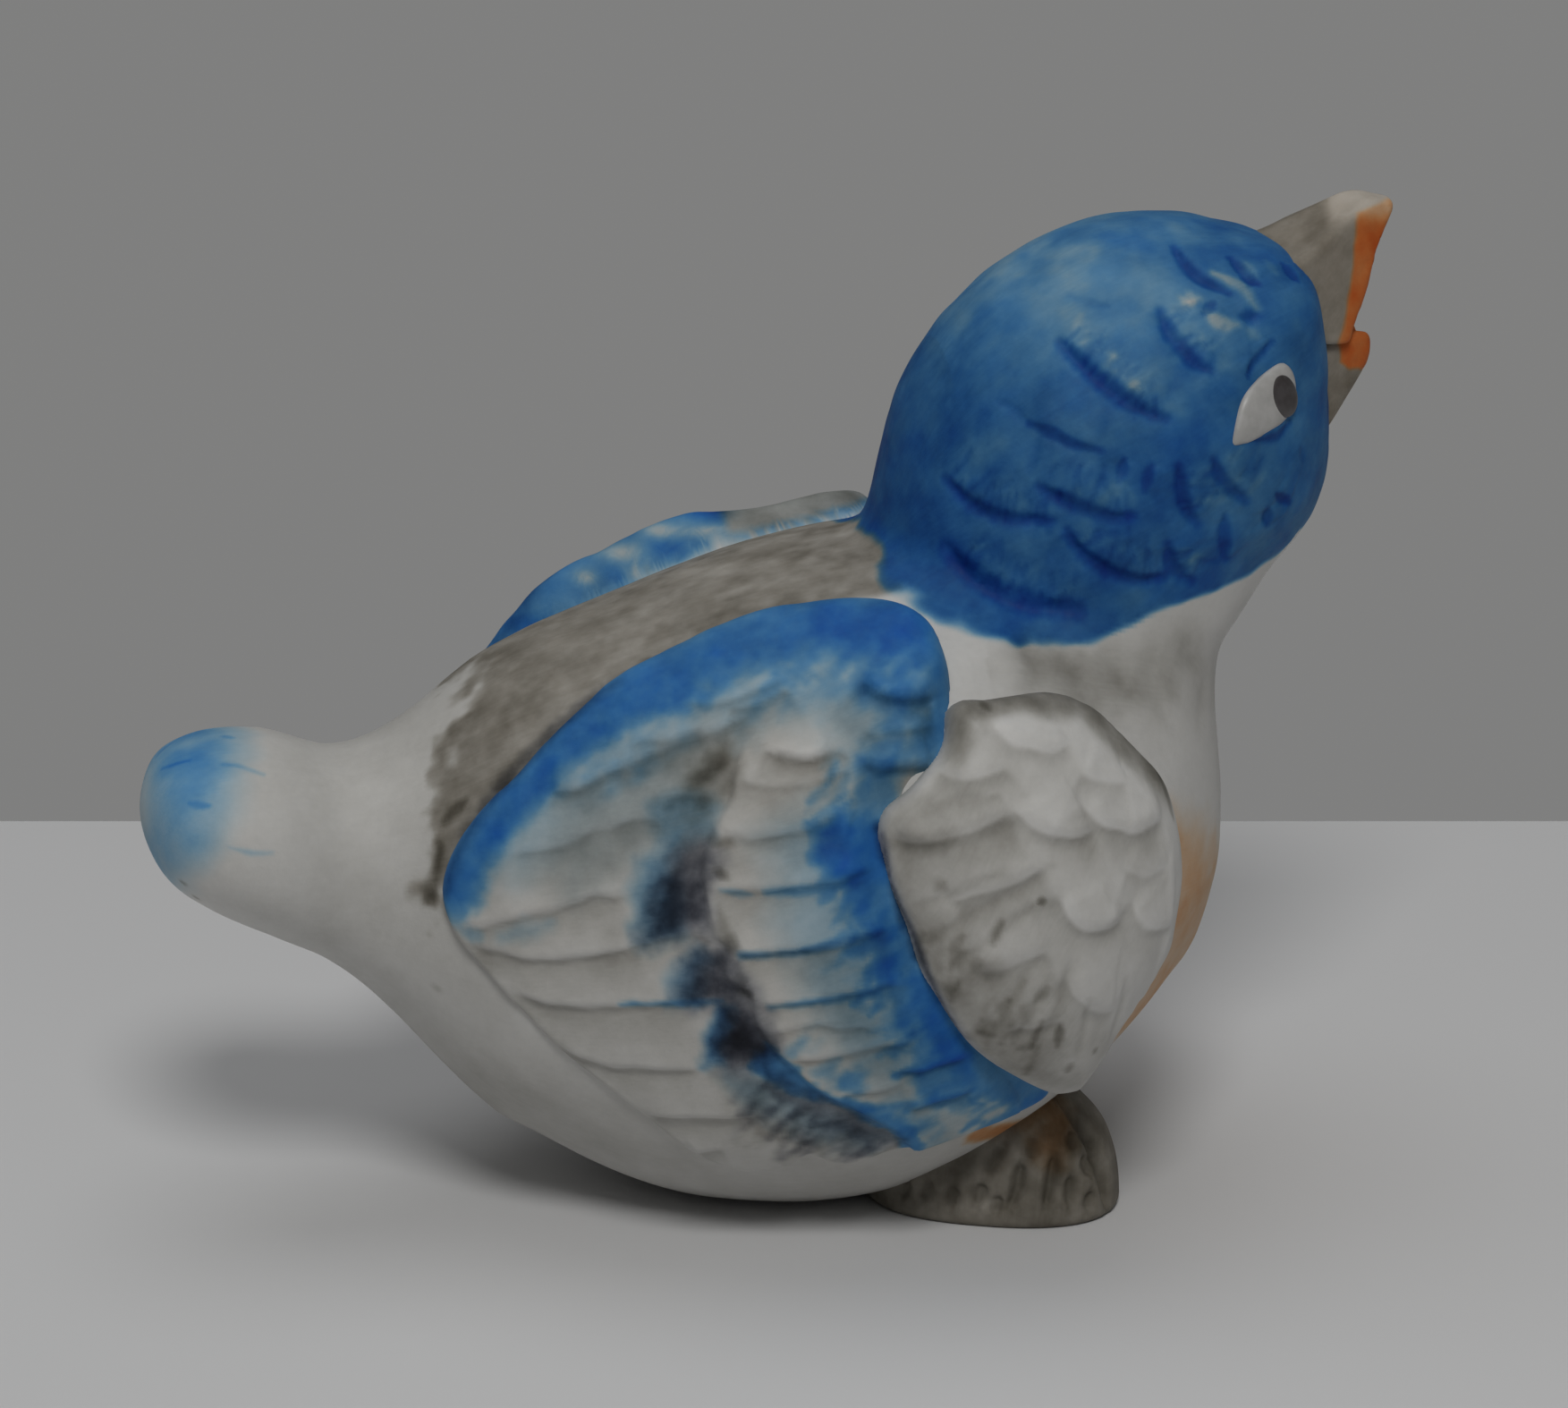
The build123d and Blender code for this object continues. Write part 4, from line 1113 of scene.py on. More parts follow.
def paint(piece, P, N, left=False):
    out = {k: np.zeros(len(P)) for k in ("blue", "taupe", "navy", "orange")}
    for name, pigment, pts, half, soft, strength in PAINT:
        if name != piece and not (name in BOTH and piece in BOTH):
            continue
        for line in copies(name, pts, left):
            idx, d, t, side = near(P, N, line, half + soft * 1.5)
            if not len(idx):
                continue
            ragged = .34 * noise(P[idx], 1.3, 3.0) + .20 * noise(P[idx], .55, 5.0)
            d = d + min(soft, 1.2) * ragged
            taper = half * (.45 + .55 * smooth(0, .35, t) * smooth(0, .35, 1 - t)) if half < .6 else half
            out[pigment][idx] += strength * (1 - smooth(taper - soft * .6, taper + soft, d))
    # painted shade below each feather's edge, fading over its reach, and a painted highlight just along the edge's
    # upper side
    for name, pts, strength, reach in SHADES:
        if name != piece and not (name in BOTH and piece in BOTH):
            continue
        for line in copies(name, pts, left):
            idx, d, t, side = near(P, N, line, reach * 2.4)
            ends = smooth(0, .14, t) * smooth(0, .14, 1 - t)
            sd = d * side + .25 * noise(P[idx], 1.6, 21.0)
            painted_edge_highlight, painted_shade_fall = -.55 * np.exp(-np.maximum(sd, 0) / .6), np.exp(-(np.maximum(-sd, 0) / reach) ** 1.4)
            out["taupe"][idx] += strength * ends * (painted_shade_fall + (painted_edge_highlight - painted_shade_fall) * smooth(-.25, .25, sd)) * (1 + .3 * noise(P[idx], 2.4, 22.0))
    mine = [a for a in AREAS if a[0] == piece]
    if mine:
        R = P * np.array([1, 1, 1])
        if not piece.startswith("right"):
            R[:, 1] = -np.abs(R[:, 1])
        px = to_px(R) + 6.0 * np.stack([noise(P, 1.7, 11.0), noise(P, 1.7, 12.0)], 1) + 3.5 * np.stack([noise(P, .6, 13.0), noise(P, .6, 14.0)], 1)
        for _, pigment, poly, soft, strength in mine:
            idx = np.where(((px > poly.min(0) - soft) & (px < poly.max(0) + soft)).all(1))[0]
            if len(idx):
                out[pigment][idx] += strength * (1 - smooth(-soft, soft, poly_distance(px[idx], poly)))
    return out


# which way the brush and the feathers run on each piece, mm along and across
def flow(name, P):
    if name in ("head_shell", "body_shell"):
        axis = np.array([.88, 0, .47])
        d = P - np.array([28.0, 0, 60.0])
        u = d @ axis
        side = np.cross(axis, [0, 1.0, 0])
        p, q = d[:, 1], d @ side
        polar = np.arctan2(np.sqrt(p * p + q * q), u) * 17.0
        F = np.stack([polar, np.arctan2(p, -q) * 15.0, np.zeros(len(P))], 1)
        if name == "body_shell":
            low = np.stack([P[:, 0], np.arctan2(P[:, 2] - 25.5, P[:, 1]) * 24.0, np.full(len(P), 40.0)], 1)
            F = np.where((head_mask(P) * (P[:, 0] > 4) * (P[:, 2] > 38) > .02)[:, None], F, low)
        return F
    if name == "tail":
        return np.stack([P[:, 0], P[:, 1], P[:, 2]], 1)
    ax = {"wing": (.96, .28), "shoulder": (-.55, -.83), "foot": (.3, .95)}.get(name.split("_")[1], (.75, .65))
    up = np.sqrt(P[:, 1] ** 2 * .3 + P[:, 2] ** 2)
    return np.stack([P[:, 0] * ax[0] + up * ax[1], -P[:, 0] * ax[1] + up * ax[0], P[:, 1] * .4], 1)


# ------------------------------------------------------------------ material
def node(tree, kind, **sets):
    n = tree.nodes.new(kind)
    for k, v in sets.items():
        if k.startswith("in_"):
            n.inputs[k[3:].replace("_", " ")].default_value = v
        else:
            setattr(n, k, v)
    return n


def math_(tree, op, a, b=None, clamp=False):
    n = tree.nodes.new("ShaderNodeMath")
    n.operation, n.use_clamp = op, clamp
    for i, v in enumerate((a, b)):
        if v is None:
            continue
        if isinstance(v, (int, float)):
            n.inputs[i].default_value = v
        else:
            tree.links.new(v, n.inputs[i])
    return n.outputs[0]


ABSORB = {"blue": (2.20, .88, .09), "taupe": (.84, .865, .94), "navy": (2.00, 1.92, 1.68), "orange": (.16, 1.15, 2.25)}


def bisque(name, white=(.625, .62, .605), rough=.64):
    m = bpy.data.materials.new(name)
    m.use_nodes = True
    t = m.node_tree
    L = t.links.new
    bsdf = t.nodes["Principled BSDF"]
    co = node(t, "ShaderNodeTexCoord").outputs["Object"]

    def tex(scale, detail=3.0, rough=.55, stretch=None):
        src = co
        if stretch:
            mp = node(t, "ShaderNodeMapping")
            mp.inputs["Scale"].default_value = stretch
            L(co, mp.inputs["Vector"])
            src = mp.outputs[0]
        n = node(t, "ShaderNodeTexNoise")
        n.inputs["Scale"].default_value, n.inputs["Detail"].default_value, n.inputs["Roughness"].default_value = scale, detail, rough
        L(src, n.inputs["Vector"])
        return n.outputs["Fac"]

    def swing(fac, low, high):
        r = node(t, "ShaderNodeMapRange", in_From_Min=.28, in_From_Max=.72, in_To_Min=low, in_To_Max=high)
        L(fac, r.inputs["Value"])
        return r.outputs[0]

    fl = node(t, "ShaderNodeAttribute", attribute_name="flow").outputs["Vector"]

    def hair(stretch, detail=3.0):
        mp = node(t, "ShaderNodeMapping")
        mp.inputs["Scale"].default_value = stretch
        L(fl, mp.inputs["Vector"])
        n = node(t, "ShaderNodeTexNoise")
        n.inputs["Scale"].default_value, n.inputs["Detail"].default_value, n.inputs["Roughness"].default_value = 1.0, detail, .6
        L(mp.outputs[0], n.inputs["Vector"])
        return n.outputs["Fac"]

    mottle, fine, broad = tex(330, 4, .6), tex(1500, 3, .6), tex(70, 2)
    streak, brush_ = hair((.28, 1.9, 1.9)), hair((.55, 4.2, 4.2))
    cloud = tex(190, 4, .6)
    vary = {"blue": math_(t, "MULTIPLY", swing(mottle, .86, 1.14), math_(t, "MULTIPLY", swing(cloud, .82, 1.16), swing(streak, .975, 1.025))),
            "taupe": math_(t, "MULTIPLY", swing(streak, .93, 1.07), math_(t, "MULTIPLY", swing(mottle, .76, 1.24), swing(cloud, .82, 1.18))),
            "navy": math_(t, "MULTIPLY", swing(mottle, .60, 1.35), swing(cloud, .75, 1.25)),
            "orange": swing(mottle, .75, 1.2)}
    comb_n = math_(t, "ADD", math_(t, "MULTIPLY", brush_, .60), math_(t, "MULTIPLY", mottle, .40))
    low, high = math_(t, "SUBTRACT", comb_n, .16), math_(t, "ADD", comb_n, .16)
    sums = [None, None, None]
    for pigment, k in ABSORB.items():
        a = node(t, "ShaderNodeAttribute", attribute_name=pigment).outputs["Fac"]
        # thin paint breaks up along the bristles
        r = node(t, "ShaderNodeMapRange", interpolation_type="SMOOTHSTEP")
        L(a, r.inputs["Value"])
        L(low, r.inputs["From Min"])
        L(high, r.inputs["From Max"])
        broken = math_(t, "SUBTRACT", r.outputs[0], math_(t, "MINIMUM", a, 1.0))
        a = math_(t, "ADD", a, math_(t, "MULTIPLY", broken, .08))
        d = math_(t, "MAXIMUM", math_(t, "MULTIPLY", a, vary[pigment]), 0.0)
        for i in range(3):
            v = math_(t, "MULTIPLY", d, -k[i])
            sums[i] = v if sums[i] is None else math_(t, "ADD", sums[i], v)
    tint = swing(broad, .96, 1.03)
    grain = swing(fine, .97, 1.025)
    both = math_(t, "MULTIPLY", tint, grain)
    comb = node(t, "ShaderNodeCombineColor")
    for i in range(3):
        e = math_(t, "EXPONENT", sums[i])
        e = math_(t, "MULTIPLY", e, both)
        L(math_(t, "MULTIPLY", e, white[i]), comb.inputs[i])
    L(comb.outputs[0], bsdf.inputs["Base Color"])
    L(swing(fine, rough - .06, rough + .08), bsdf.inputs["Roughness"])
    bsdf.inputs["Specular IOR Level"].default_value = .18
    bsdf.inputs["Subsurface Weight"].default_value = .10
    bsdf.inputs["Subsurface Radius"].default_value = (.9, .8, .7)
    bsdf.inputs["Subsurface Scale"].default_value = .0007
    bump = node(t, "ShaderNodeBump")
    bump.inputs["Strength"].default_value = .35
    bump.inputs["Distance"].default_value = .00006
    L(tex(3800, 3, .65), bump.inputs["Height"])
    L(bump.outputs[0], bsdf.inputs["Normal"])
    return m


def enamel(name, low, high, rough):
    m = bpy.data.materials.new(name)
    m.use_nodes = True
    t = m.node_tree
    bsdf = t.nodes["Principled BSDF"]
    co = node(t, "ShaderNodeTexCoord").outputs["Object"]
    n = node(t, "ShaderNodeTexNoise")
    n.inputs["Scale"].default_value, n.inputs["Detail"].default_value = 900, 3
    t.links.new(co, n.inputs["Vector"])
    ramp = node(t, "ShaderNodeValToRGB")
    ramp.color_ramp.elements[0].position, ramp.color_ramp.elements[1].position = .35, .65
    ramp.color_ramp.elements[0].color, ramp.color_ramp.elements[1].color = (*low, 1), (*high, 1)
    t.links.new(n.outputs["Fac"], ramp.inputs["Fac"])
    t.links.new(ramp.outputs[0], bsdf.inputs["Base Color"])
    bsdf.inputs["Roughness"].default_value = rough
    return m


BISQUE = bisque("bisque_painted")
EYE_WHITE = enamel("enamel_white", (.38, .375, .365), (.45, .445, .435), .38)
EYE_DARK = enamel("enamel_dark", (.040, .034, .034), (.072, .066, .068), .30)


# ------------------------------------------------------------------ finished pieces
def make(name, V, groups, attrs, mat, sharp=None):
    me = bpy.data.meshes.new(name)
    fill_mesh(me, V, groups)
    me.polygons.foreach_set("use_smooth", np.ones(len(me.polygons), bool))
    for k, v in attrs.items():
        full = np.zeros(len(V), np.float32)
        full[:len(v)] = v
        me.attributes.new(k, "FLOAT", "POINT").data.foreach_set("value", full)
    if attrs:
        run = flow(name, np.asarray(V)).astype(np.float32)
        me.attributes.new("flow", "FLOAT_VECTOR", "POINT").data.foreach_set("vector", run.ravel())
    if sharp is not None and len(sharp):
        ev = np.empty(len(me.edges) * 2, np.int32)
        me.edges.foreach_get("vertices", ev)
        ev = np.sort(ev.reshape(-1, 2), 1).astype(np.int64)
        key = ev[:, 0] * len(V) + ev[:, 1]
        want = np.sort(sharp, 1)
        flag = np.isin(key, want[:, 0] * len(V) + want[:, 1])
        me.attributes.new("sharp_edge", "BOOLEAN", "EDGE").data.foreach_set("value", flag)
    me.materials.append(mat)
    me.validate()
    ob = bpy.data.objects.new(name + "_painted", me)
    bpy.context.scene.collection.objects.link(ob)
    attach(ob, "root")
    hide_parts(name)
    return ob


def loop_edges(L):
    return np.stack([L, np.roll(L, -1)], 1).astype(np.int64)


edge3 = line_on("head_shell", HEAD_EDGE)
low3 = line_on("body_shell", HEAD_EDGE)
edge3 = np.concatenate([edge3, low3]) if len(low3) else edge3
ang = np.degrees(np.arctan2(-edge3[:, 1], edge3[:, 0] - 24.0))
order = np.argsort(ang)
EDGE_A, EDGE_Z = ang[order], edge3[order, 2]


def head_mask(P):
    a = np.degrees(np.arctan2(np.abs(P[:, 1]), P[:, 0] - 24.0))
    zb = np.interp(a, EDGE_A, EDGE_Z)
    zb = zb + 0.28 * noise(P, 1.5, 2.0) + 0.22 * noise(P, 4.0, 8.0)
    return smooth(-.35, .35, P[:, 2] - zb)


def skin_paint(name, P, N):
    out = paint(name, P, N)
    R = P * np.array([1, 1, 1])
    R[:, 1] = -np.abs(R[:, 1])
    m = head_mask(P) * smooth(7.5, 8.3, P[:, 0] + .4 * noise(P, 1.5, 9.0)) * (P[:, 2] > 38)
    px = to_px(R)
    pale = np.exp(-((px[:, 0] - 1205) / 185) ** 2 - ((px[:, 1] - 322) / 108) ** 2)
    # cheek: paler blue under the eye, painted light on a part that lies in shade
    cheek = np.exp(-((px[:, 0] - 1400) / 75) ** 2 - ((px[:, 1] - 555) / 60) ** 2)
    dark = np.exp(-((px[:, 0] - 1000) / 70) ** 2 - ((px[:, 1] - 600) / 90) ** 2)
    cloud = noise(P, 6.0, 4.0) + .8 * noise(P, 2.6, 6.0)
    shade = 1.40 - .78 * pale - .32 * cheek + .16 * dark + .15 * cloud + .10 * noise(P, 1.1, 12.0)
    marks = np.maximum(out["blue"], 0) if name == "tail" else 0
    out["blue"] = np.maximum(m * (shade + out["blue"]), 0) + marks
    out["navy"] = np.where((P[:, 2] > 40) & (P[:, 0] > 10), m * out["navy"], out["navy"])
    out["taupe"] += m * np.maximum(.62 - .36 * pale + .09 * noise(P, 3.0, 2.0), 0)
    if name != "tail":
        rear = smooth(610, 520, px[:, 0])
        g = poly_distance(px, STRIPE) / (14.0 + 20.0 * rear)
        top = (P[:, 2] > 22) & (P[:, 0] < 14)
        on = 1 - smooth(-.55, .45, g + (.4 + .25 * rear) * noise(P, 2.2, 6.0) + .45 * rear * noise(P, .9, 17.0))
        out["taupe"] = np.where(top, m * .62 + (1 - m) * on * np.maximum(.92 + out["taupe"], .2) * (1 + .20 * noise(P, 2.0, 15.0) + .20 * noise(P, .9, 16.0)), out["taupe"])
        out["orange"] += np.where(top, .04 * on * (1 - m), 0)
        ragged = noise(P, 2.2, 4.0) + .6 * noise(P, .9, 5.0)
        rise = 25.0 + .68 * np.maximum(np.abs(P[:, 1]) - 7.5, 0) + .8 * ragged
        breast = smooth(12.5, 16, P[:, 2] + .9 * ragged) * smooth(4.5, -3.0, P[:, 2] - rise) * smooth(23, 19, np.abs(P[:, 1])) * smooth(22, 26, P[:, 0])
        out["orange"] += .42 * breast * (1 + .25 * ragged)
    if name != "tail":
        # grey over the white: a little everywhere, darker towards the bottom and towards the rear, and on the throat
        # grey smears with painted shade under the head's overhang
        throat = np.exp(-((px[:, 0] - 1235) / 150) ** 2 - ((px[:, 1] - 765) / 55) ** 2) * smooth(12, 18, P[:, 0]) * smooth(32, 37, P[:, 2])
        grey_and_throat_shade = .09 + .05 * noise(P, 5.0, 3.0) + .25 * smooth(19, 9, P[:, 2]) + .42 * throat * (1 + .6 * noise(P, 2.2, 5.0)) + .17 * smooth(-12, -26, P[:, 0])
        out["taupe"] += grey_and_throat_shade * (1 - m)
    if name == "tail":
        zone = np.array(TL((150, 300), (200, 240), (300, 180), (460, 150), (475, 220), (460, 330), (425, 430), (380, 560), (320, 650), (220, 720), (150, 700), (100, 600), (110, 420)))
        b = 1 - smooth(-48, 40, poly_distance(px + 9 * np.stack([noise(P, 2.0, 1.0), noise(P, 2.0, 2.0)], 1), zone))
        out["blue"] += .30 * b * np.exp(-(((px - (212, 848)) / (58, 40)) ** 2).sum(1)) * (1 + .5 * noise(P, 1.2, 7.0))
        out["blue"] += .60 * b * (1 - .35 * smooth(-46.5, -49.5, P[:, 0]) + .25 * noise(P, 2.5, 5.0))
        out["taupe"] += .09 + .05 * noise(P, 5.0, 3.0) + .25 * smooth(19, 9, P[:, 2]) + .17 * smooth(-47, -33, P[:, 0])
    return out


def finish_skin(name):
    p = PIECES[name]
    V, N, groups = p["V"], p["N"], p["groups"]
    h = relief(name, V, N)
    lump = .05 * noise(V, 5.0, 9.0) + .03 * noise(V, 2.0, 4.0)
    if name in BOTH:
        blue = head_mask(V) * smooth(8, 10, V[:, 0]) * (V[:, 2] > 38)
        lump = lump + blue * (.15 * noise(V, 4.2, 19.0) + .08 * noise(V, 2.1, 18.0))
    out = skin_paint(name, V, N)
    flat = smooth(.05, 1.2, V[:, 2])
    V = V + N * ((h + lump) * flat)[:, None]
    if name == "body_shell":
        vent = np.hypot(V[:, 0] - 4.0, V[:, 1])
        V[:, 2] += np.where(V[:, 2] < 1.0, 4.0 * smooth(2.0, 1.65, vent), 0)
    loops, sharp = border(groups, len(V)), []
    for L in loops:
        c = V[L].mean(0)
        sharp.append(loop_edges(L))
        d = V[L] - c
        if abs((c - SEAM) @ SEAM_N) < 1.0:
            up = 1.0 if name == "body_shell" else 1.15
            R = d / np.linalg.norm(d, axis=1)[:, None] * (7.0 if name == "body_shell" else 7.12)
            rings = [SEAM + R - SEAM_N * ((R) @ SEAM_N)[:, None], None]
            rings[1] = rings[0] + SEAM_N * 3.6 * up
            V, groups = cap(V, groups, L, rings, SEAM + SEAM_N * 3.6 * up)
            n = len(L)
            first = len(V) - 1 - 2 * n
            sharp += [loop_edges(np.arange(first, first + n)), loop_edges(np.arange(first + n, first + 2 * n))]
        else:
            V, groups = cap(V, groups, L, [], c)
    return make(name, V, groups, out, BISQUE, np.concatenate(sharp) if sharp else None)


def side_piece(name, build):
    """The right piece and its mirror image on the left."""
    for side in ("right", "left"):
        V, groups, out, sharp = build(side == "left")
        if side == "left":
            V = V * np.array([1, -1, 1])
            groups = [F[:, ::-1] for F in groups]
        make(f"{side}_{name}", V, groups, out, BISQUE, sharp)


finish_skin("head_shell")
finish_skin("body_shell")
finish_skin("tail")


def build_wing(left):
    p = PIECES["right_wing"]
    V, N, groups = p["V"], p["N"], p["groups"]
    g = poly_distance(unroll(p["B"]), WING_POLY)
    inner = smooth(.1, 1.4, -g)
    h = relief("right_wing", V, N, left)
    edge = lines("right_wing", COVERT_EDGE)
    if left:
        edge = mirrored(mirrored(edge, 5.0), 5.0)
    idx, d, t, side = near(V, N, edge, 9.0)
    step = np.zeros(len(V))
    step[idx] = .75 * np.exp(-d / 5.0) * smooth(-.45, .45, d * side) * smooth(0, .15, t)
    h = h + step + .06 * noise(V, 4.0, 9.0) + .04 * noise(V, 1.6, 4.0)
    out = paint("right_wing", V, N, left)
    lumps = (.8 * noise(V, 3.0, 7.0) + .5 * noise(V, 1.5, 8.0)) * smooth(20, 32, V[:, 2])
    h = h + .20 * lumps
    # grey over the wing's white, darker in the hollows between the lumps and lighter on their tops: painted shade and
    # highlight
    out["taupe"] += .32 - .14 * lumps + .05 * noise(V, 4.0, 2.0) + .05 * noise(V, 1.2, 3.0)
    rim = smooth(3.0, .9, -g + .5 * noise(V, 1.4, 6.0)) * smooth(34, 40, V[:, 2]) * smooth(14, 9, V[:, 0])
    out["blue"] = np.maximum(out["blue"], rim * (1.0 + .35 * noise(V, 1.8, 5.0)))
    out["blue"] = np.maximum(out["blue"], 0)
    out["blue"] = 2.3 * (1 - np.exp(-out["blue"] / 2.1))
    if left:
        # the far wing's top edge: mottled blue, then grey-brown towards the head, with a bare inner rim
        V = V + np.outer(3.6 * smooth(43, 48, V[:, 2]) * smooth(0, 9, V[:, 0]), [1.0, 0, 0])
        h = h + (.8 * smooth(4, 9, V[:, 0]) + 1.2 * smooth(-22, -14, V[:, 0]) * smooth(3, -5, V[:, 0])) * smooth(36, 43, V[:, 2]) * quarter(-g / 3.0)
        px = to_px((V + N * (h * inner)[:, None]) * np.array([1, -1, 1])) + 3.0 * np.stack([noise(V, 1.7, 11.0), noise(V, 1.7, 12.0)], 1)
        high = smooth(40, 44, V[:, 2])
        leaf = np.array([(806, 500), (1010, 500), (1010, 546), (945, 568), (900, 581), (850, 590), (816, 596), (806, 572)], float)
        grey = high * (1 - smooth(-7, 7, poly_distance(px, leaf)))
        out["blue"] *= 1 - .95 * grey
        out["taupe"] += grey * (.55 + .30 * noise(V, 1.8, 3.0))
        pale = high * sum(np.exp(-(((px - c) / r) ** 2).sum(1)) for c, r in (((694, 616), (26, 12)), ((738, 592), (24, 11)), ((655, 644), (16, 10)), ((795, 594), (30, 9)), ((712, 640), (16, 7))))
        deep = high * sum(np.exp(-(((px - c) / r) ** 2).sum(1)) for c, r in (((690, 645), (14, 12)), ((749, 612), (18, 12)), ((790, 572), (24, 9)), ((590, 700), (24, 10))))
        out["blue"] += .7 * deep
        out["navy"] += .35 * high * np.exp(-(((px - (806, 566)) / (12, 12)) ** 2).sum(1))
        out["blue"] *= 1 - .85 * np.clip(pale, 0, 1)
        below = np.array([(600, 716), (640, 686), (707, 655), (757, 627), (806, 604), (850, 594), (900, 584), (945, 571), (1010, 548), (1010, 660), (600, 760)], float)
        bare = high * (1 - smooth(-8, 6, poly_distance(px, below)))
        for k in out:
            out[k] = out[k] * (1 - bare)
    V = V + N * (h * inner)[:, None]
    loops = border(groups, len(V))
    sharp = np.concatenate([loop_edges(L) for L in loops])
    VV, GG = backed(V, groups, p["B"], loops)
    out = {k: np.concatenate([v, v]) for k, v in out.items()}
    return VV, GG, out, sharp


def build_shoulder(left):
    p = PIECES["right_shoulder"]
    V, N, groups = p["V"], p["N"], p["groups"]
    h = relief("right_shoulder", V, N, left)
    h = h + .10 * noise(V, 4.5, 9.0) + .05 * noise(V, 2.0, 4.0)
    out = paint("right_shoulder", V, N, left)
    g = poly_distance(unroll(p["B"]), DOME_POLY)
    px = to_px(V)
    top = smooth(915, 860, px[:, 1]) * smooth(1045, 1080, px[:, 0])
    # grey over the dome: darker in the hollows of its low bumps and lighter on their tops, painted shade and highlight;
    # a grey rim along the top edge; darker towards the bottom
    out["taupe"] += .09 - .08 * noise(V, 4.5, 9.0) + .05 * noise(V, 1.3, 4.0) + 1.35 * top * smooth(40, 6, -poly_distance(px, np.array(DOME_PX)) + 7 * noise(V, 1.6, 5.0)) + .10 * smooth(24, 12, V[:, 2])
    V = V + N * (h * smooth(.1, 1.2, -g))[:, None]
    loops = border(groups, len(V))
    VV, GG = backed(V, groups, p["B"], loops)
    out = {k: np.concatenate([v, v]) for k, v in out.items()}
    return VV, GG, out, np.concatenate([loop_edges(L) for L in loops])


def build_foot(left):
    p = PIECES["right_foot"]
    V, N, groups = p["V"], p["N"], p["groups"]
    h = relief("right_foot", V, N, left)
    out = paint("right_foot", V, N, left)
    out["taupe"] += 1.52 + .22 * noise(V, 3.0, 3.0)
    out["orange"] += .05
    flat = smooth(.05, 1.0, V[:, 2])
    V = V + N * ((h + .08 * noise(V, 2.5, 9.0)) * flat)[:, None]
    return V, groups, out, None


side_piece("wing", build_wing)
side_piece("shoulder", build_shoulder)
side_piece("foot", build_foot)

for name in ("upper_beak", "lower_beak"):
    p = PIECES[name]
    V, N, groups = p["V"], p["N"], p["groups"]
    R = V * np.array([1, 1, 1])
    R[:, 1] = -np.abs(R[:, 1])
    px = to_px(R) + 2.5 * np.stack([noise(V, 1.2, 1.0), noise(V, 1.2, 2.0)], 1)
    inside = smooth(.72, .88, N[:, 0])
    if name == "upper_beak":
        strip = 1 - smooth(-3, 4, poly_distance(px, np.array([(1518, 238), (1556, 222), (1562, 250), (1545, 300), (1518, 388), (1497, 388), (1507, 337), (1514, 295)], float)))
        worn = 1 - smooth(-8, 14, poly_distance(px, np.array([(1478, 205), (1560, 205), (1560, 238), (1522, 242), (1490, 246)], float)))
    else:
        strip = 1 - smooth(-3, 4, poly_distance(px, np.array([(1497, 360), (1545, 360), (1545, 400), (1528, 414), (1510, 412), (1498, 404)], float)))
        worn = np.zeros(len(V))
    lip = np.maximum(strip, inside)
    out = {k: np.zeros(len(V)) for k in ("blue", "taupe", "navy", "orange")}
    out["orange"] = (1.40 + .25 * noise(V, 1.1, 6.0)) * lip * (1 - .6 * worn) + .09 * (1 - lip)
    out["taupe"] = 1.22 * (1 - lip) * (1 - .66 * worn) + .14 * noise(V, 2.0, 3.0)
    V = V + N * (.06 * noise(V, 2.2, 9.0) + .05 * strip * noise(V, .8, 7.0))[:, None]
    make(name, V, groups, out, BISQUE)

# eyes: raised enamel patches on the head
EYE_PX = curve(BK((135, 1450), (160, 1300), (190, 1210), (250, 1130), (330, 1060), (390, 1025), (430, 1040), (460, 1090), (470, 1180), (450, 1270), (400, 1340),
                  (330, 1390), (240, 1440), (190, 1455)), 2.0, closed=True)
ang_p = np.linspace(0, 2 * np.pi, 72, endpoint=False)
lean = math.radians(8)
PUPIL_PX = np.array(BK(*[(388 + 70 * math.cos(a) * math.cos(lean) - 115 * math.sin(a) * math.sin(-lean),
                          1200 + 115 * math.sin(a) * math.cos(lean) + 70 * math.cos(a) * math.sin(-lean)) for a in ang_p]))


def patch(px, lift, base):
    """A raised closed button over the picture outline px, lying on the head."""
    c = px.mean(0)
    n = len(px)
    rad = np.sin(np.linspace(0, 1, 15)[1:] * np.pi / 2)
    P = cast("head_shell", np.concatenate([c[None]] + [c + (px - c) * r for r in rad]))
    N = normals(P, skin)
    r = np.concatenate([[0.0], np.repeat(rad, n)])
    top = P + N * (base + lift * np.sqrt(np.maximum(1 - r ** 3, 0)) - .12 * r ** 8)[:, None]
    under = P - N * .35
    fans, rows = [], []
    for k in range(len(rad)):
        ids = 1 + k * n + np.arange(n)
        if k == 0:
            fans.append(np.stack([np.zeros(n, int), ids, np.roll(ids, -1)], 1))
        else:
            rows.append(np.stack([ids - n, ids, np.roll(ids, -1), np.roll(ids - n, -1)], 1))
    groups = [np.concatenate(fans), np.concatenate(rows)]
    a = top[groups[0][0]]
    if np.cross(a[1] - a[0], a[2] - a[0]) @ N[0] < 0:
        groups = [F[:, ::-1] for F in groups]
    L = border(groups, len(top))
    V, G = backed(top, groups, under, L)
    return V, G, loop_edges(L[0])


for nm, px, lift, base, mat, slot in (("eye", EYE_PX, .45, .05, EYE_WHITE, "eye_white"), ("pupil", PUPIL_PX, .22, .42, EYE_DARK, "eye_dark")):
    V, G, sharp = patch(px, lift, base)
    make("right_" + nm, V, G, {}, mat, sharp)
    make("left_" + nm, V * np.array([1, -1, 1]), [F[:, ::-1] for F in G], {}, mat, sharp)

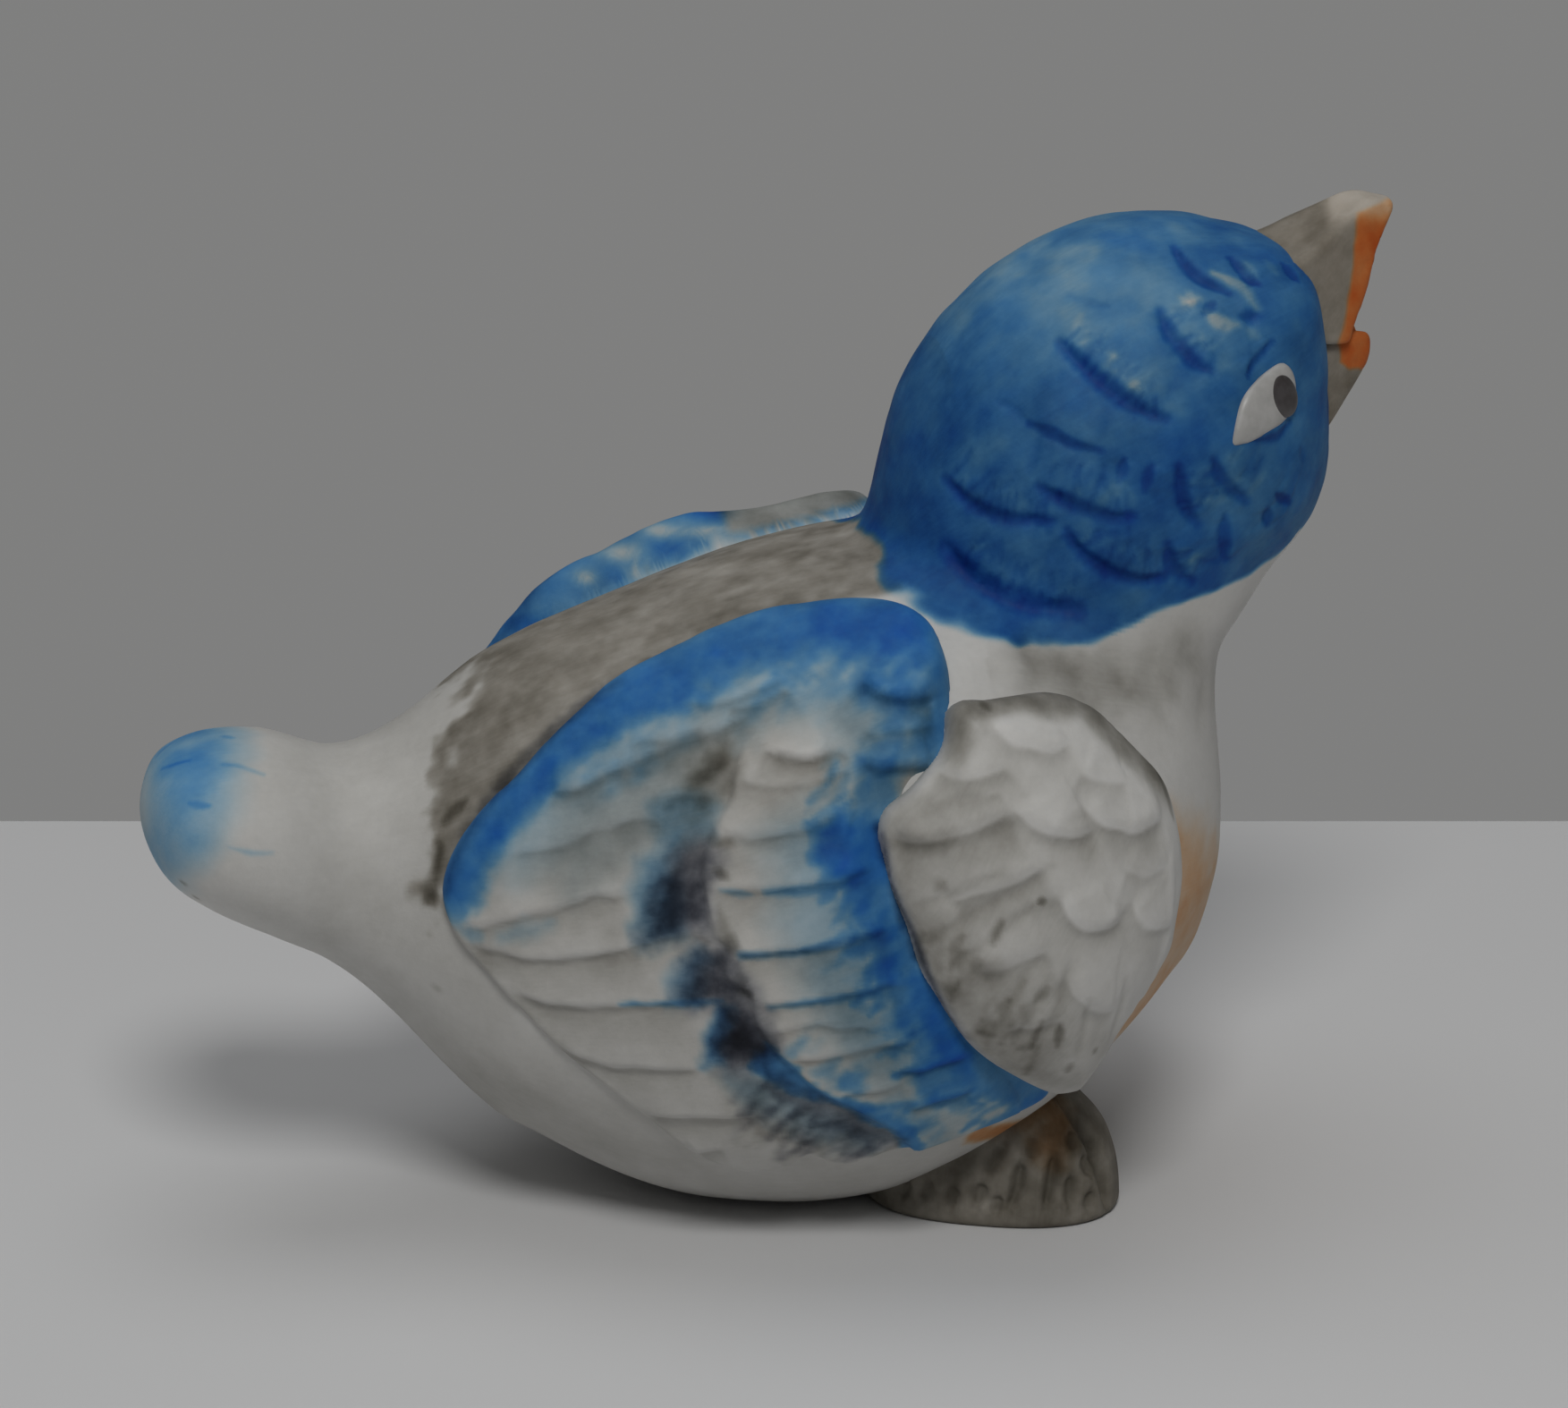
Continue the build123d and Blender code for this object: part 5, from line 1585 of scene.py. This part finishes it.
# ------------------------------------------------------------------ floor, light
floor_mat = bpy.data.materials.new("floor")
floor_mat.use_nodes = True
ft = floor_mat.node_tree
fb = ft.nodes["Principled BSDF"]
fn = node(ft, "ShaderNodeTexNoise")
fn.inputs["Scale"].default_value, fn.inputs["Detail"].default_value = 9.0, 3
ft.links.new(node(ft, "ShaderNodeTexCoord").outputs["Object"], fn.inputs["Vector"])
fr = node(ft, "ShaderNodeValToRGB")
fr.color_ramp.elements[0].color, fr.color_ramp.elements[1].color = (.700, .703, .712, 1), (.735, .737, .745, 1)
ft.links.new(fn.outputs["Fac"], fr.inputs["Fac"])
ft.links.new(fr.outputs[0], fb.inputs["Base Color"])
fb.inputs["Roughness"].default_value = .75
fb.inputs["Specular IOR Level"].default_value = .2
d = rays([(W / 2, 918)])[0]
FAR = EYE + d * (-EYE[2] / d[2])
ahead = np.array([-math.sin(AZ), math.cos(AZ), 0.0])
mid = TARGET * np.array([1, 1, 0])
reach = (FAR - mid) @ ahead
corners = [mid + RIGHT * sx * 900 + ahead * s for sx, s in ((-1, -900), (1, -900), (1, reach), (-1, reach))]
me = bpy.data.meshes.new("floor")
me.from_pydata([tuple(c * MM) for c in corners], [], [(0, 1, 2, 3)])
me.materials.append(floor_mat)
floor = bpy.data.objects.new("floor", me)
bpy.context.scene.collection.objects.link(floor)

world = bpy.data.worlds.new("studio")
bpy.context.scene.world = world
world.use_nodes = True
wt = world.node_tree
wb = wt.nodes["Background"]
wb.inputs["Color"].default_value = (1.0, 1.0, .99, 1)
wz = node(wt, "ShaderNodeSeparateXYZ")
wt.links.new(node(wt, "ShaderNodeTexCoord").outputs["Generated"], wz.inputs[0])
up_ = math_(wt, "MAXIMUM", wz.outputs[2], 0.0)
sky = math_(wt, "MULTIPLY", math_(wt, "MULTIPLY", up_, up_), .20)
wall = node(wt, "ShaderNodeMapRange", in_From_Min=-.02, in_From_Max=.10, in_To_Min=.213, in_To_Max=.05)
wt.links.new(wz.outputs[2], wall.inputs["Value"])
wt.links.new(math_(wt, "ADD", sky, wall.outputs[0]), wb.inputs["Strength"])


def lamp(name, at, size, power, color=(1, 1, 1)):
    data = bpy.data.lights.new(name, "AREA")
    data.shape, data.size, data.energy, data.color = "DISK", size, power, color
    ob = bpy.data.objects.new(name, data)
    ob.location = at
    aim = Vector((0.0, 0.0, .03)) - Vector(at)
    ob.rotation_mode = "QUATERNION"
    ob.rotation_quaternion = aim.to_track_quat("-Z", "Y")
    bpy.context.scene.collection.objects.link(ob)


lamp("key", (-.10, -.60, .70), .26, 2.93, (1.0, .99, .97))
lamp("top", (-.06, .16, .95), .70, 1.36, (.98, .99, 1.0))

bpy.context.scene.view_settings.view_transform = "Standard"
bpy.context.scene.view_settings.look = "None"

bpy.context.view_layer.update()
